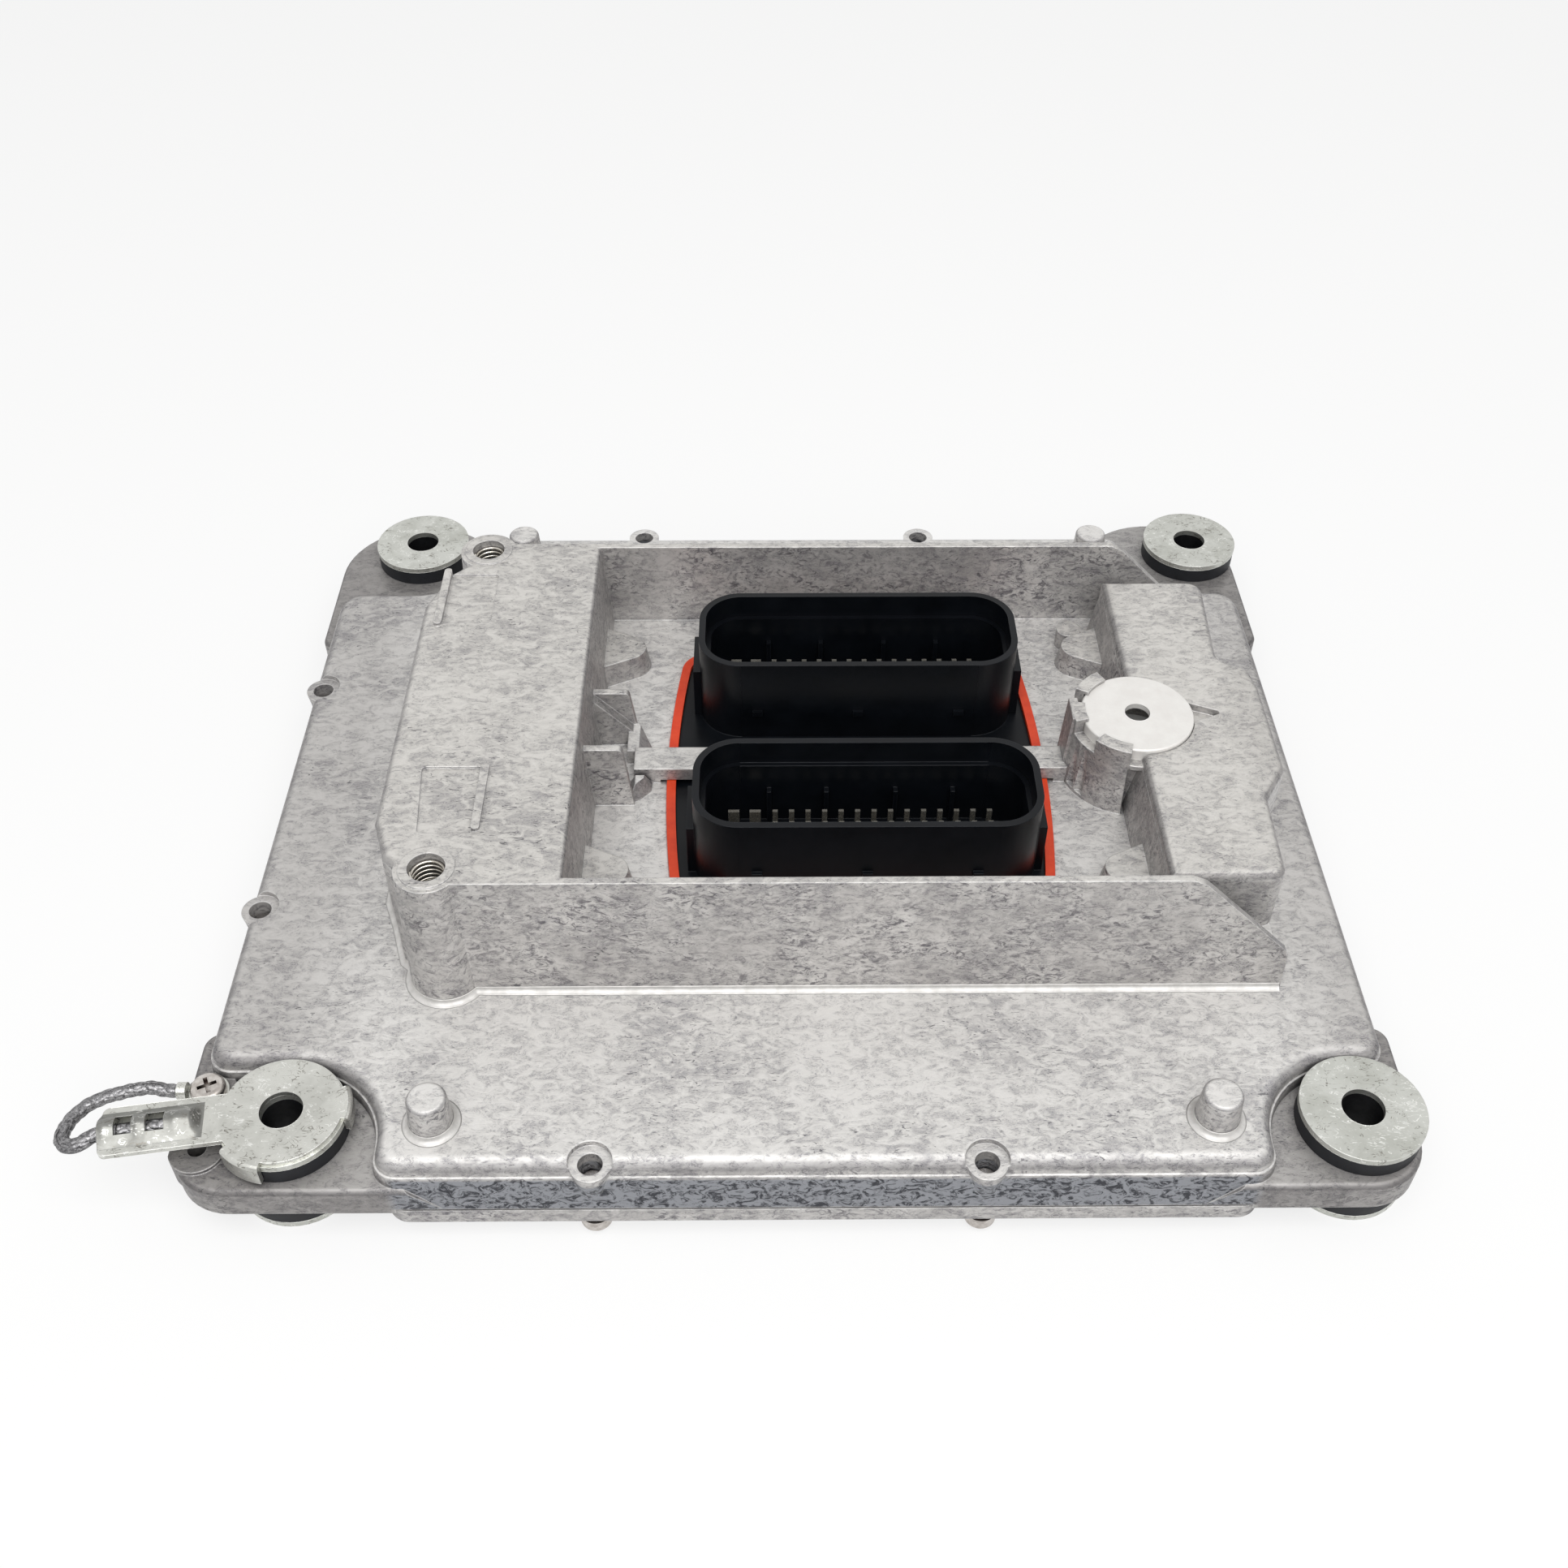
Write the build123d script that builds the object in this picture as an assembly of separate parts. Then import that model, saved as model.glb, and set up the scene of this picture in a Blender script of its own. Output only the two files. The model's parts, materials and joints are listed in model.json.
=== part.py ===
from build123d import *
from math import atan, cos, degrees, radians, sin, tan
import os

# Engine control unit in a die-cast housing. Millimetres, +Z up. The origin is the centre of the four rubber
# mounts, on the plane that the lower washers rest on. The connectors face up and their pocket opens upwards.

os.makedirs("parts", exist_ok=True)

# Rubber mounts: washers, isolators and sleeves, one stack round each bolt
mount_spacing_x = 230.0
mount_spacing_y = 204.0
mount_hole_d = 9.2
washer_d = 27.0
washer_t = 1.5
isolator_d = 26.8
lower_isolator_h = 8.0
upper_isolator_h = 4.1
ear_t = 7.6
sleeve_d = 12.0
ear_hole_d = 18.0
fit_gap = 0.1

# Die-cast housing: top slab, skirt and walls, as seen from above
body_left = -134.4
body_right = 123.5
body_front = -116.2
body_back = 103.6
plate_above_washer = 0.8
plate_t = 3.0
edge_round = 3.5
wall_t = 3.4
skirt_ledge = 0.4
skirt_drop = 3.5
skirt_spread = 1.95
ear_lip = 1.3
notch_in = 20.75
notch_front = 13.0
notch_back = 25.0
notch_round = 20.0
corner_round = 5.0
back_corner_round = 6.5

# Ears that carry the mounts
ear_left = -138.5
ear_right = 128.0
ear_back = 117.8
ear_corner_round = 13.0
ear_back_round = 22.8
ear_side_front = -76.0
ear_side_back = 60.0
ear_ramp_start = 88.0
ear_ramp_end = 80.0
ear_edge_round = 1.5

# Bottom cover and flat gasket
cover_h = 5.5
cover_floor_t = 2.5
cover_back = 108.2
cover_cut_x = 93.0
cover_cut_front = 84.0
cover_cut_back = 84.0
seal_strip = 6.5
gasket_t = 0.6
gasket_inset = 0.5

# Screw lugs round the edge
lug_xs = (-48.9, 33.6)
lug_front_y = -114.6
lug_back_y = 104.6
lug_left_x = -132.3
lug_ys = (-44.0, 35.2)
blind_screw_x = 116.6
blind_hole_top = 17.0
lug_drop = 1.5
lug_hole_d = 5.3
lug_top_r = 4.4
lug_foot_r = 2.9
lug_column_r = 5.2
cover_screw_d = 4.9
cover_screw_head_d = 7.0
cover_screw_head_h = 2.9

# Locating pegs on the slab
peg_x = 82.8
peg_front_y = -105.0
peg_back_y = 92.5
peg_h = 8.9
peg_top_r = 4.2
peg_base_r = 4.95

# Connector pocket: raised deck, thin walls, blocks on both sides
deck_h = 11.4
deck_t = 3.0
deck_left = -98.0
deck_right = 101.3
pocket_front = -69.9
pocket_back = 50.8
pocket_wall_t = 1.75
pocket_wall_h = 35.6
left_block_inner = -55.5
left_block_draft = 5.0
block_wall_t = 3.2
right_block_h = 28.5
right_block_inner = 76.3
right_block_front = -61.7
right_block_back = 43.7
right_block_outer = 100.7
right_block_bulge = 108.9
wall_slope_start = 78.6
wall_slope_end = 103.6
wall_end_h = 10.0

# Threaded inserts for the cable bracket
insert_x = -84.5
insert_front_y = -65.2
insert_back_y = 47.8
insert_boss_r = 7.2
insert_ring_r = 6.1
insert_ring_h = 0.4
insert_od = 8.2
insert_bore_d = 6.8
insert_h = 16.0
insert_sink = 1.0

# Cross bar over the header and the ribs beside it
bar_front = -14.5
bar_back = -6.7
bar_left = -44.4
bar_right = 61.0
bar_top_h = 16.0
bar_t = 3.6
rib_t = 1.8
rib_back_y = 3.0
rib_back_h = 25.8
rib_front_y = -21.3
rib_front_h = 29.5
rib_end_x = -46.0
brace_front_y = -0.7
brace_h = 25.5
brace_end_h = 14.6
gusset_h = 17.5
gusset_y = 30.0
gusset_side = 0.48
gusset_nose_r = 4.5
gusset_foot = 1.3

# Vent tower and its cap
vent_x = 77.0
vent_y = -9.5
vent_cap_r = 13.5
vent_cap_t = 3.0
vent_cap_skirt = 1.4
vent_hole_d = 6.0
vent_top_h = 29.5
vent_ring_r = 15.9
vent_bore_r = 12.0
vent_port_r = 5.0
vent_shelf_h = 20.0
claw_h = 1.0
claw_lip = 0.9
vent_slack = 0.2
claw_spans = ((120.0, 151.0), (169.0, 195.0), (223.0, 256.0))

# Connector header: opening, flange, shells
header_left = -33.3
header_right = 53.4
header_bow = 3.2
header_front = -56.0
header_back = 33.9
header_corner = 7.0
seal_w = 2.2
seal_stand = 0.8
flange_drop = 0.4
collar_w = 2.5
collar_t = 3.5
shell_w = 79.0
shell_d = 28.8
shell_x = 10.7
shell_rear_y = 16.95
shell_front_y = -37.7
shell_top_h = 34.2
shell_corner = 10.5
shell_t = 1.6
shell_ledge = 1.2
shell_ledge_h = 28.0
shell_floor_h = 10.5
header_post_r = 2.5

# Contacts
pin_pitch_x = 3.87
pin_pitch_y = 3.9
pin_columns = 14
pin_rows = 4
pin_first_x = -10.1
pin_w = 1.2
pin_d = 0.8
blade_xs = (-19.8, -14.8)
blade_pitch_y = 5.8
blade_rows = 3
blade_w = 2.6
blade_d = 0.9
pin_tip_h = 19.0
pin_below_board = 1.2

# Circuit board and its parts
board_t = 1.6
board_left = -122.0
board_right = 111.0
board_front = -72.0
board_back = 62.0
board_gap = 3.5
post_r = 4.0
post_xs = (-111.0, 107.0)
post_ys = (-64.0, -5.0, 56.0)
board_screw_d = 3.0
board_screw_head_d = 5.6
board_screw_head_h = 2.0
board_screw_l = 4.0
driver_xs = (-94.0, -52.0, -10.0, 32.0, 74.0)
driver_y = -62.0
driver_size = 14.0
driver_t = 3.2
pad_t = 1.3

# Ground strap on the front left mount
terminal_t = 1.2
terminal_r = 13.1
arm_angle = 188.4
arm_w = 12.0
arm_reach = 37.1
barrel_start = 18.9
barrel_r = 2.7
braid_d = 3.2
window_near = (23.6, 27.4)
window_far = (30.2, 33.8)
ground_x = -133.1
ground_y = -94.0
ground_boss_r = 6.0
ground_boss_top_drop = 5.5
spare_boss_x = -132.8
spare_boss_y = -107.6
ring_t = 0.8
socket_r = 1.9
socket_reach = 6.6
ground_washer_r = 4.3
ground_head_r = 3.8
ground_head_h = 2.2
ground_screw_d = 4.0

# Heights that follow from the stack of a mount
ear_bottom = washer_t + lower_isolator_h
ear_top = ear_bottom + ear_t
upper_washer_z = ear_top + upper_isolator_h
washer_top = upper_washer_z + washer_t
plate_top = washer_top + plate_above_washer
plate_under = plate_top - plate_t
parting = ear_bottom + ear_lip
cover_top = parting - gasket_t
cover_bottom = cover_top - cover_h
cover_inner = cover_bottom + cover_floor_t
deck_top = plate_top + deck_h
deck_under = deck_top - deck_t
board_top = plate_under - board_gap
board_bottom = board_top - board_t
block_top = plate_top + pocket_wall_h
right_block_top = plate_top + right_block_h
vent_top = plate_top + vent_top_h
vent_seat = vent_top - vent_cap_t
vent_shelf = plate_top + vent_shelf_h

# Places that follow from the body and the mounts
mount_x = mount_spacing_x / 2
mount_y = mount_spacing_y / 2
mounts = [(sx * mount_x, sy * mount_y) for sx in (-1, 1) for sy in (-1, 1)]
skirt_front = body_front - skirt_spread
cover_front = skirt_front
notch_x = mount_x - notch_in
notch_front_y = notch_front - mount_y
notch_back_y = mount_y - notch_back
cavity_notch_x = cover_cut_x - seal_strip
cavity_front_y = seal_strip - cover_cut_front
cavity_back_y = notch_back_y - wall_t - 1.0
front_lugs = [(x, lug_front_y) for x in lug_xs]
back_lugs = [(x, lug_back_y) for x in lug_xs]
side_lugs = [(lug_left_x, y) for y in lug_ys]
lugs = front_lugs + back_lugs + side_lugs
blind_screws = [(blind_screw_x, y) for y in lug_ys]
cover_screw_places = lugs + blind_screws
inserts = [(insert_x, insert_front_y), (insert_x, insert_back_y)]
posts = [(x, y) for x in post_xs for y in post_ys]
pegs = [(sx * peg_x, y) for sx in (-1, 1) for y in (peg_front_y, peg_back_y)]
shells = [shell_rear_y, shell_front_y]
far = 400.0


def box(x0, x1, y0, y1, z0, z1):
    return Pos((x0 + x1) / 2, (y0 + y1) / 2, (z0 + z1) / 2) * Box(x1 - x0, y1 - y0, z1 - z0)


def rod(x, y, r, z0, z1):
    return Pos(x, y, (z0 + z1) / 2) * Cylinder(r, z1 - z0)


def cone(x, y, r0, r1, z0, z1):
    return Pos(x, y, (z0 + z1) / 2) * Cone(r0, r1, z1 - z0)


def ring(x, y, r_out, r_in, z0, z1):
    return rod(x, y, r_out, z0, z1) - rod(x, y, r_in, z0, z1)


def rect(x0, x1, y0, y1):
    return Pos((x0 + x1) / 2, (y0 + y1) / 2) * Rectangle(x1 - x0, y1 - y0)


def lift(sketch, z0, z1, taper=0.0):
    return extrude(Pos(0, 0, z0) * sketch, z1 - z0, taper=taper)


def prism(points, run):
    return Part() + Solid.extrude(Face(Wire.make_polygon(points)), Vector(*run))


def round_at(sketch, x, y, r):
    corner = sketch.vertices().sort_by_distance(Vector(x, y, 0))[0]
    return fillet(corner, r)


def top_edges(part, z):
    return [e for e in part.edges() if abs(e.bounding_box().min.Z - z) < 1e-4 and abs(e.bounding_box().max.Z - z) < 1e-4]


# Outline of the body at a distance outside the slab's side, with a notch round each mount
def body_plan(grow):
    x0 = body_left - grow
    x1 = body_right + grow
    y0 = body_front - grow
    y1 = body_back + grow
    in_x = notch_x + grow
    front_y = notch_front_y - grow
    back_y = notch_back_y + grow
    outline = rect(x0, x1, y0, y1)
    for side in (-1, 1):
        outer = far * side
        xs = sorted((side * in_x, outer))
        outline -= rect(xs[0], xs[1], -far, front_y)
        outline -= rect(xs[0], xs[1], back_y, far)
    for side, edge in ((-1, x0), (1, x1)):
        for y, end in ((front_y, y0), (back_y, y1)):
            outline = round_at(outline, side * in_x, y, notch_round - grow)
            corner = corner_round if y < 0 or grow > 0 else back_corner_round
            outline = round_at(outline, edge, y, corner + grow)
            outline = round_at(outline, side * in_x, end, corner_round + grow)
    return outline


# Room inside the walls: it stays clear of the mounts and of the screw lugs
def cavity_plan():
    room = rect(body_left + wall_t, body_right - wall_t, body_front + wall_t, body_back - wall_t)
    for side in (-1, 1):
        xs = sorted((side * cavity_notch_x, side * far))
        room -= rect(xs[0], xs[1], -far, cavity_front_y)
        room -= rect(xs[0], xs[1], cavity_back_y, far)
    room = fillet(room.vertices(), corner_round)
    for x, y in lugs:
        room -= Pos(x, y) * Circle(lug_column_r)
    for x, y in blind_screws:
        room -= Pos(x, y) * Circle(lug_column_r) + rect(x, body_right, y - lug_column_r, y + lug_column_r)
    return room


# Outline of the cover: a rectangle cut away round the four mounts
def cover_plan(inset):
    plan = rect(ear_left + inset, ear_right - inset, cover_front + inset, cover_back - inset)
    for side in (-1, 1):
        xs = sorted((side * (cover_cut_x - inset), side * far))
        plan -= rect(xs[0], xs[1], -far, inset - cover_cut_front)
        plan -= rect(xs[0], xs[1], cover_cut_back - inset, far)
    return fillet(plan.vertices(), corner_round - inset)


# One ear of the housing: side is -1 on the left, and back tells the rear ears
def ear(side, back):
    edge = ear_left if side < 0 else ear_right
    xs = sorted((edge, side * ear_ramp_end))
    if back:
        arc_x = edge - side * ear_back_round
        arc_y = ear_back - ear_back_round
        plan = rect(xs[0], xs[1], ear_side_back, arc_y)
        plan += Pos(arc_x, arc_y) * Circle(ear_back_round)
        link = sorted((arc_x, side * ear_ramp_end))
        plan += rect(link[0], link[1], ear_side_back, cover_back)
        plan = round_at(plan, arc_x - side * 0.8 * ear_back_round, cover_back, ear_back_round / 4)
        plan = round_at(plan, edge, ear_side_back, corner_round - 1)
    else:
        plan = rect(xs[0], xs[1], skirt_front, ear_side_front)
        plan = round_at(plan, edge, skirt_front, ear_corner_round)
        plan = round_at(plan, edge, ear_side_front, corner_round - 1)
    body = lift(plan, parting, ear_top)
    rim = [e for e in top_edges(body, ear_top) if side * e.center().X > ear_ramp_end + 1.0]
    body = fillet(rim, ear_edge_round)
    body += lift(plan - cover_plan(-gasket_inset), ear_bottom, parting)
    # The ear runs down to the parting line at its inner end
    run = (0, far, 0) if back else (0, far / 2, 0)
    start_y = 0 if back else -far / 2
    ramp = [
        (side * ear_ramp_start, start_y, ear_top),
        (side * ear_ramp_end, start_y, parting),
        (side * ear_ramp_end, start_y, far),
        (side * ear_ramp_start, start_y, far),
    ]
    return body - prism(ramp, run)


# Boss for one cover screw, with a machined seat and a foot that runs out at the parting line
def lug(x, y):
    top = plate_top - lug_drop
    return cone(x, y, lug_foot_r, lug_top_r, parting, top)


def peg(x, y):
    shape = cone(x, y, peg_base_r, peg_top_r, plate_top - 1.0, plate_top + peg_h)
    return fillet(top_edges(shape, plate_top + peg_h), 1.0)


# Tall block on the left, drafted on its two long sides, with a boss for each insert
def left_block():
    spread = pocket_wall_h * tan(radians(left_block_draft))
    face = [
        (deck_left - spread, pocket_front, plate_top - 1.0),
        (deck_left, pocket_front, block_top),
        (left_block_inner, pocket_front, block_top),
        (left_block_inner + spread, pocket_front, plate_top - 1.0),
    ]
    core = prism(face, (0, pocket_back - pocket_front, 0))
    plan = Polyline(
        (40.0, pocket_back),
        (insert_x + 4.0, pocket_back),
        (insert_x - 9.0, insert_back_y - 9.1),
        (deck_left, insert_back_y - 21.6),
        (deck_left - spread, insert_back_y - 30.0),
        (deck_left - spread, insert_front_y + 22.0),
        (deck_left, insert_front_y + 14.0),
        (insert_x - 10.2, insert_front_y + 3.6),
        (insert_x - 4.5, insert_front_y - 2.0),
        (insert_x, pocket_front),
        (40.0, pocket_front),
        close=True,
    )
    core = core & lift(make_face(plan), plate_top - 1.0, block_top)
    rim = [e for e in top_edges(core, block_top) if e.center().X < left_block_inner - 0.5]
    soft = [e for e in rim if pocket_front + 0.5 < e.center().Y < pocket_back - 0.5]
    core = fillet(soft, 2.4)
    inner = [e for e in top_edges(core, block_top) if abs(e.center().X - left_block_inner) < 0.3]
    core = fillet(inner, 1.2)
    for x, y in inserts:
        core += cone(x, y, insert_boss_r + 1.2, insert_boss_r, plate_top - 1.0, block_top)
        core += rod(x, y, insert_ring_r, block_top - 1.0, block_top + insert_ring_h)
    return core


# Flat pad sunk in the top of the left block, with a raised rib beside it
def block_pads(block):
    rear = [(-93.0, 37.6), (-80.6, 37.6), (-80.6, 18.0), (-93.0, 18.0)]
    front = [(-90.0, -33.9), (-76.0, -33.9), (-76.0, -54.8), (-88.2, -54.7)]
    for corners, bead_x, bead_y0, bead_y1 in ((rear, -94.6, 16.6, 39.1), (front, -76.5, -54.3, -33.6)):
        pad = make_face(Polyline(*corners, close=True))
        pad = fillet(pad.vertices(), 1.0)
        block -= lift(pad, block_top - 0.5, block_top + 1.0)
        bead = fillet(rect(bead_x, bead_x + 1.9, bead_y0, bead_y1).vertices(), 0.9)
        block += lift(bead, block_top - 1.0, block_top + 0.9)
    return block


# Thin wall across the front or the back of the pocket, sloping down at its right end
def pocket_wall(y0):
    top = block_top
    end = plate_top + wall_end_h
    points = [
        (left_block_inner - 6.0, y0, plate_top - 1.0),
        (left_block_inner - 6.0, y0, top),
        (wall_slope_start, y0, top),
        (wall_slope_start + 3.3, y0, top - 1.6),
        (wall_slope_end - 0.7, y0, end + 2.5),
        (wall_slope_end, y0, end),
        (wall_slope_end + 0.4, y0, plate_top - 1.0),
    ]
    return prism(points, (0, pocket_wall_t, 0))


# Lower block on the right, with the bulge on its outer side and the notch beside the vent
def right_block():
    outline = Polyline(
        (right_block_inner, right_block_back),
        (right_block_outer + 1.8, right_block_back),
        (right_block_outer, 12.0),
        (right_block_outer + 7.0, 8.4),
        (right_block_bulge, 1.0),
        (right_block_bulge, -27.5),
        (right_block_outer + 2.2, -37.0),
        (deck_right + 0.7, right_block_front),
        (right_block_inner, right_block_front),
        close=True,
    )
    plan = make_face(outline)
    plan = round_at(plan, right_block_outer + 1.8, right_block_back, 4.0)
    plan = round_at(plan, right_block_outer, 12.0, 4.0)
    plan = round_at(plan, right_block_outer + 7.0, 8.4, 3.0)
    plan = round_at(plan, right_block_bulge, -27.5, 4.0)
    plan = round_at(plan, deck_right + 0.7, right_block_front, 3.5)
    body = lift(plan, plate_top - 1.0, right_block_top)
    body = fillet(top_edges(body, right_block_top), 2.2)
    rise = right_block_top - deck_top
    foot = [
        (right_block_inner + 1.5, right_block_front + 1.5, right_block_top - 2.0),
        (right_block_inner + 1.5, right_block_front + 1.5, deck_top - 1.0),
        (right_block_inner - 2.8, right_block_front + 1.5, deck_top - 1.0),
        (right_block_inner - 0.1, right_block_front + 1.5, right_block_top - rise / 6),
    ]
    body += prism(foot, (0, right_block_back - right_block_front - 3.0, 0))
    return body


# Triangular pad with drafted sides that stiffens the pocket's floor against a block
def gusset(apex_x, wall_x, y):
    half = gusset_side * abs(wall_x - apex_x)
    plan = make_face(Polyline((apex_x, y), (wall_x, y + half), (wall_x, y - half), close=True))
    plan = offset(round_at(plan, apex_x, y, gusset_nose_r), gusset_foot)
    height = gusset_h - deck_h + 1.0
    return lift(plan, deck_top - 1.0, plate_top + gusset_h, taper=degrees(atan(gusset_foot / height)))


def gussets():
    pads = []
    for apex_x, wall_x in ((-37.7, -58.0), (59.3, 79.0)):
        for y in (gusset_y, 2 * vent_y - gusset_y):
            pads.append(gusset(apex_x, wall_x, y))
    pads.append(rod(68.2, 38.2, 3.2, deck_top - 1.0, plate_top + gusset_h - 0.8))
    return pads


# Ribs between the left block and the cross bar, a sloping brace against the rear one and a foot on each side
def ribs():
    parts = []
    for y, height in ((rib_back_y, rib_back_h), (rib_front_y, rib_front_h)):
        top = plate_top + height
        face = [
            (-58.0, y - rib_t / 2, deck_top - 1.0),
            (-58.0, y - rib_t / 2, top),
            (rib_end_x, y - rib_t / 2, top),
            (rib_end_x + 2.1, y - rib_t / 2, deck_top - 1.0),
        ]
        plate = prism(face, (0, rib_t, 0))
        corner = [e for e in plate.edges() if abs(e.center().X - rib_end_x) < 0.01 and abs(e.center().Z - top) < 0.01]
        parts.append(fillet(corner, 1.4))
    brace = [
        (-56.5, brace_front_y, deck_top - 1.0),
        (-56.5, brace_front_y, plate_top + brace_h + 2.2),
        (bar_left + 0.2, brace_front_y, plate_top + brace_end_h),
        (bar_left + 0.2, brace_front_y, deck_top - 1.0),
    ]
    parts.append(prism(brace, (0, rib_back_y - brace_front_y, 0)))
    top = plate_top + bar_top_h
    back_foot = [
        (bar_left - 2.0, bar_back - 1.0, deck_top - 1.0),
        (bar_left - 2.0, bar_back - 1.0, top - 0.3),
        (bar_left + 0.8, bar_back - 1.0, top - 0.3),
        (bar_left + 6.0, bar_back - 1.0, deck_top - 1.0),
    ]
    back_plan = Polyline((-47.0, 2.6), (-44.0, 2.6), (-38.0, -7.7), (-47.0, -7.7), close=True)
    parts.append(prism(back_foot, (0, 12.0, 0)) & lift(make_face(back_plan), 0, far / 4))
    front_plan = Polyline((-46.0, -21.8), (-44.0, -21.6), (-42.3, -20.6), (-39.8, -17.8), (-39.6, -14.0), (-46.0, -14.0), close=True)
    parts.append(lift(make_face(front_plan), deck_top - 1.0, top - 0.4, taper=22.0))
    return parts


# Bar across the header, between the two shells
def cross_bar():
    top = plate_top + bar_top_h
    bar = box(bar_left, bar_right, bar_front, bar_back, deck_top - 1.0, top)
    tunnel_left = header_left - header_bow - 1.5
    tunnel_right = header_right + header_bow + 1.5
    return bar - box(tunnel_left, tunnel_right, -far, far, 0, top - bar_t)


# Round tower that carries the vent cap: seat, bore, port and three claws staked over the cap
def vent_tower():
    tower = cone(vent_x, vent_y, vent_ring_r + 1.2, vent_ring_r, deck_top - 1.0, vent_seat)
    for start, end in claw_spans:
        wedge = [(0.0, 0.0)]
        for angle in (start, (start + end) / 2, end):
            wedge.append((far * cos(radians(angle)), far * sin(radians(angle))))
        slice_plan = Pos(vent_x, vent_y) * make_face(Polyline(*wedge, close=True))
        arc = lift(slice_plan, vent_seat, vent_top + claw_h)
        shell = rod(vent_x, vent_y, vent_ring_r, vent_seat, vent_top + claw_h)
        shell -= rod(vent_x, vent_y, vent_cap_r + vent_slack, vent_seat, vent_top)
        shell -= rod(vent_x, vent_y, vent_cap_r - claw_lip, vent_seat, vent_top + claw_h)
        tower += shell & arc
    # Fin between the cross bar and the seat
    fin = [
        (59.8, vent_y - 3.1, deck_top - 1.0),
        (61.0, vent_y - 3.1, vent_top + claw_h - 0.2),
        (63.0, vent_y - 3.1, vent_top + claw_h - 0.2),
        (63.0, vent_y - 3.1, deck_top - 1.0),
    ]
    tower += prism(fin, (0, 7.6, 0))
    # Slot at the front and two flutes at the left
    tower -= box(72.8, 76.9, -28.0, -22.6, deck_top, vent_seat - 1.2)
    for angle in (205.0, 216.0):
        x = vent_x + (vent_ring_r + 1.2) * cos(radians(angle))
        y = vent_y + (vent_ring_r + 1.2) * sin(radians(angle))
        tower -= rod(x, y, 1.3, deck_top + 1.0, vent_seat - 1.0)
    return tower


def vent_cuts(body):
    body -= rod(vent_x, vent_y, vent_bore_r, vent_shelf, vent_seat)
    body -= rod(vent_x, vent_y, vent_port_r, deck_under - 1.0, vent_shelf)
    notch = Polyline((98.4, -8.4), (89.0, -4.6), (88.0, -12.8), close=True)
    notch_plan = round_at(make_face(notch), 98.4, -8.4, 0.8)
    body -= lift(notch_plan, vent_seat, far / 2)
    return body


# Opening in the pocket's floor: sides slightly bowed, as the header's flange is
def opening_plan():
    middle = (header_front + header_back) / 2
    left = ThreePointArc((header_left, header_front), (header_left - header_bow, middle), (header_left, header_back))
    right = ThreePointArc((header_right, header_back), (header_right + header_bow, middle), (header_right, header_front))
    back = Line((header_left, header_back), (header_right, header_back))
    front = Line((header_right, header_front), (header_left, header_front))
    plan = make_face([left, back, right, front])
    return fillet(plan.vertices(), header_corner)


# Room for tall parts in the left block, clear of the insert bosses, and in the right block beside the vent
def block_rooms():
    inset = block_wall_t
    top = block_top - inset
    right_top = right_block_top - inset
    near = left_block_inner - inset
    wide = box(deck_left + inset, near, insert_front_y + 21.0, insert_back_y - 24.0, parting, top)
    deep = box(insert_x - 3.5, near, insert_front_y + 11.5, insert_back_y - 11.5, parting, top)
    right_x = vent_x + vent_ring_r + 1.0
    right_y = (right_block_front + inset, right_block_back - inset)
    right = box(right_x, right_block_outer - inset, right_y[0], right_y[1], parting, right_top)
    return [wide, deep, right]


def upper_housing():
    skirt_top = plate_top - skirt_drop
    skirt_h = skirt_top - parting
    draft = degrees(atan((skirt_spread - skirt_ledge) / skirt_h))
    slab = lift(body_plan(0.0), skirt_top, plate_top)
    slab = fillet(top_edges(slab, plate_top), edge_round - 0.05)
    body = slab + lift(body_plan(skirt_spread), parting, skirt_top, taper=draft)
    for side in (-1, 1):
        for back in (False, True):
            body += ear(side, back)
    for x, y in lugs:
        body -= rod(x, y, lug_top_r + 0.3, plate_top - lug_drop, plate_top + 1.0)
        body += lug(x, y)
    body += box(deck_left, deck_right, pocket_front, pocket_back, plate_top - 1.0, deck_top)
    body += left_block()
    body = block_pads(body)
    body += pocket_wall(pocket_front)
    body += pocket_wall(pocket_back - pocket_wall_t)
    body += right_block()
    body -= rod(vent_x, vent_y, vent_cap_r + vent_slack, vent_seat, right_block_top + 1.0)
    body += vent_tower()
    body = vent_cuts(body)
    for pad in gussets() + ribs():
        body += pad
    # Room inside: low under the slab, higher under the deck and in both blocks
    body -= lift(cavity_plan(), parting - 1.0, plate_under)
    inset = block_wall_t
    body -= box(deck_left + inset, deck_right - inset, pocket_front + inset, pocket_back - inset, parting, deck_under)
    for room in block_rooms():
        body -= room
    body -= lift(opening_plan(), deck_under - 1.0, deck_top + 1.0)
    body += cross_bar()
    for x, y in posts:
        body += rod(x, y, post_r, board_top, plate_under + 0.5)
        body -= rod(x, y, board_screw_d / 2 + fit_gap, board_top, board_top + board_screw_l + 0.5)
    for x, y in inserts:
        body -= rod(x, y, insert_od / 2, block_top + insert_ring_h - insert_sink - insert_h, far / 2)
    for x, y in lugs:
        body -= rod(x, y, lug_hole_d / 2, 0, far / 2)
    for x, y in blind_screws:
        body -= rod(x, y, lug_hole_d / 2, 0, blind_hole_top)
    for x, y in pegs:
        body += peg(x, y)
    body += ground_bosses()
    for x, y in mounts:
        body -= rod(x, y, ear_hole_d / 2, 0, ear_top)
        body -= rod(x, y, washer_d / 2 + 0.3, ear_top, far / 2)
    body -= rod(ground_x, ground_y, ground_screw_d / 2 + fit_gap, ear_bottom + 1.0, far / 2)
    body -= rod(spare_boss_x, spare_boss_y, ground_screw_d / 2, ear_bottom + 1.0, far / 2)
    return body


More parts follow.
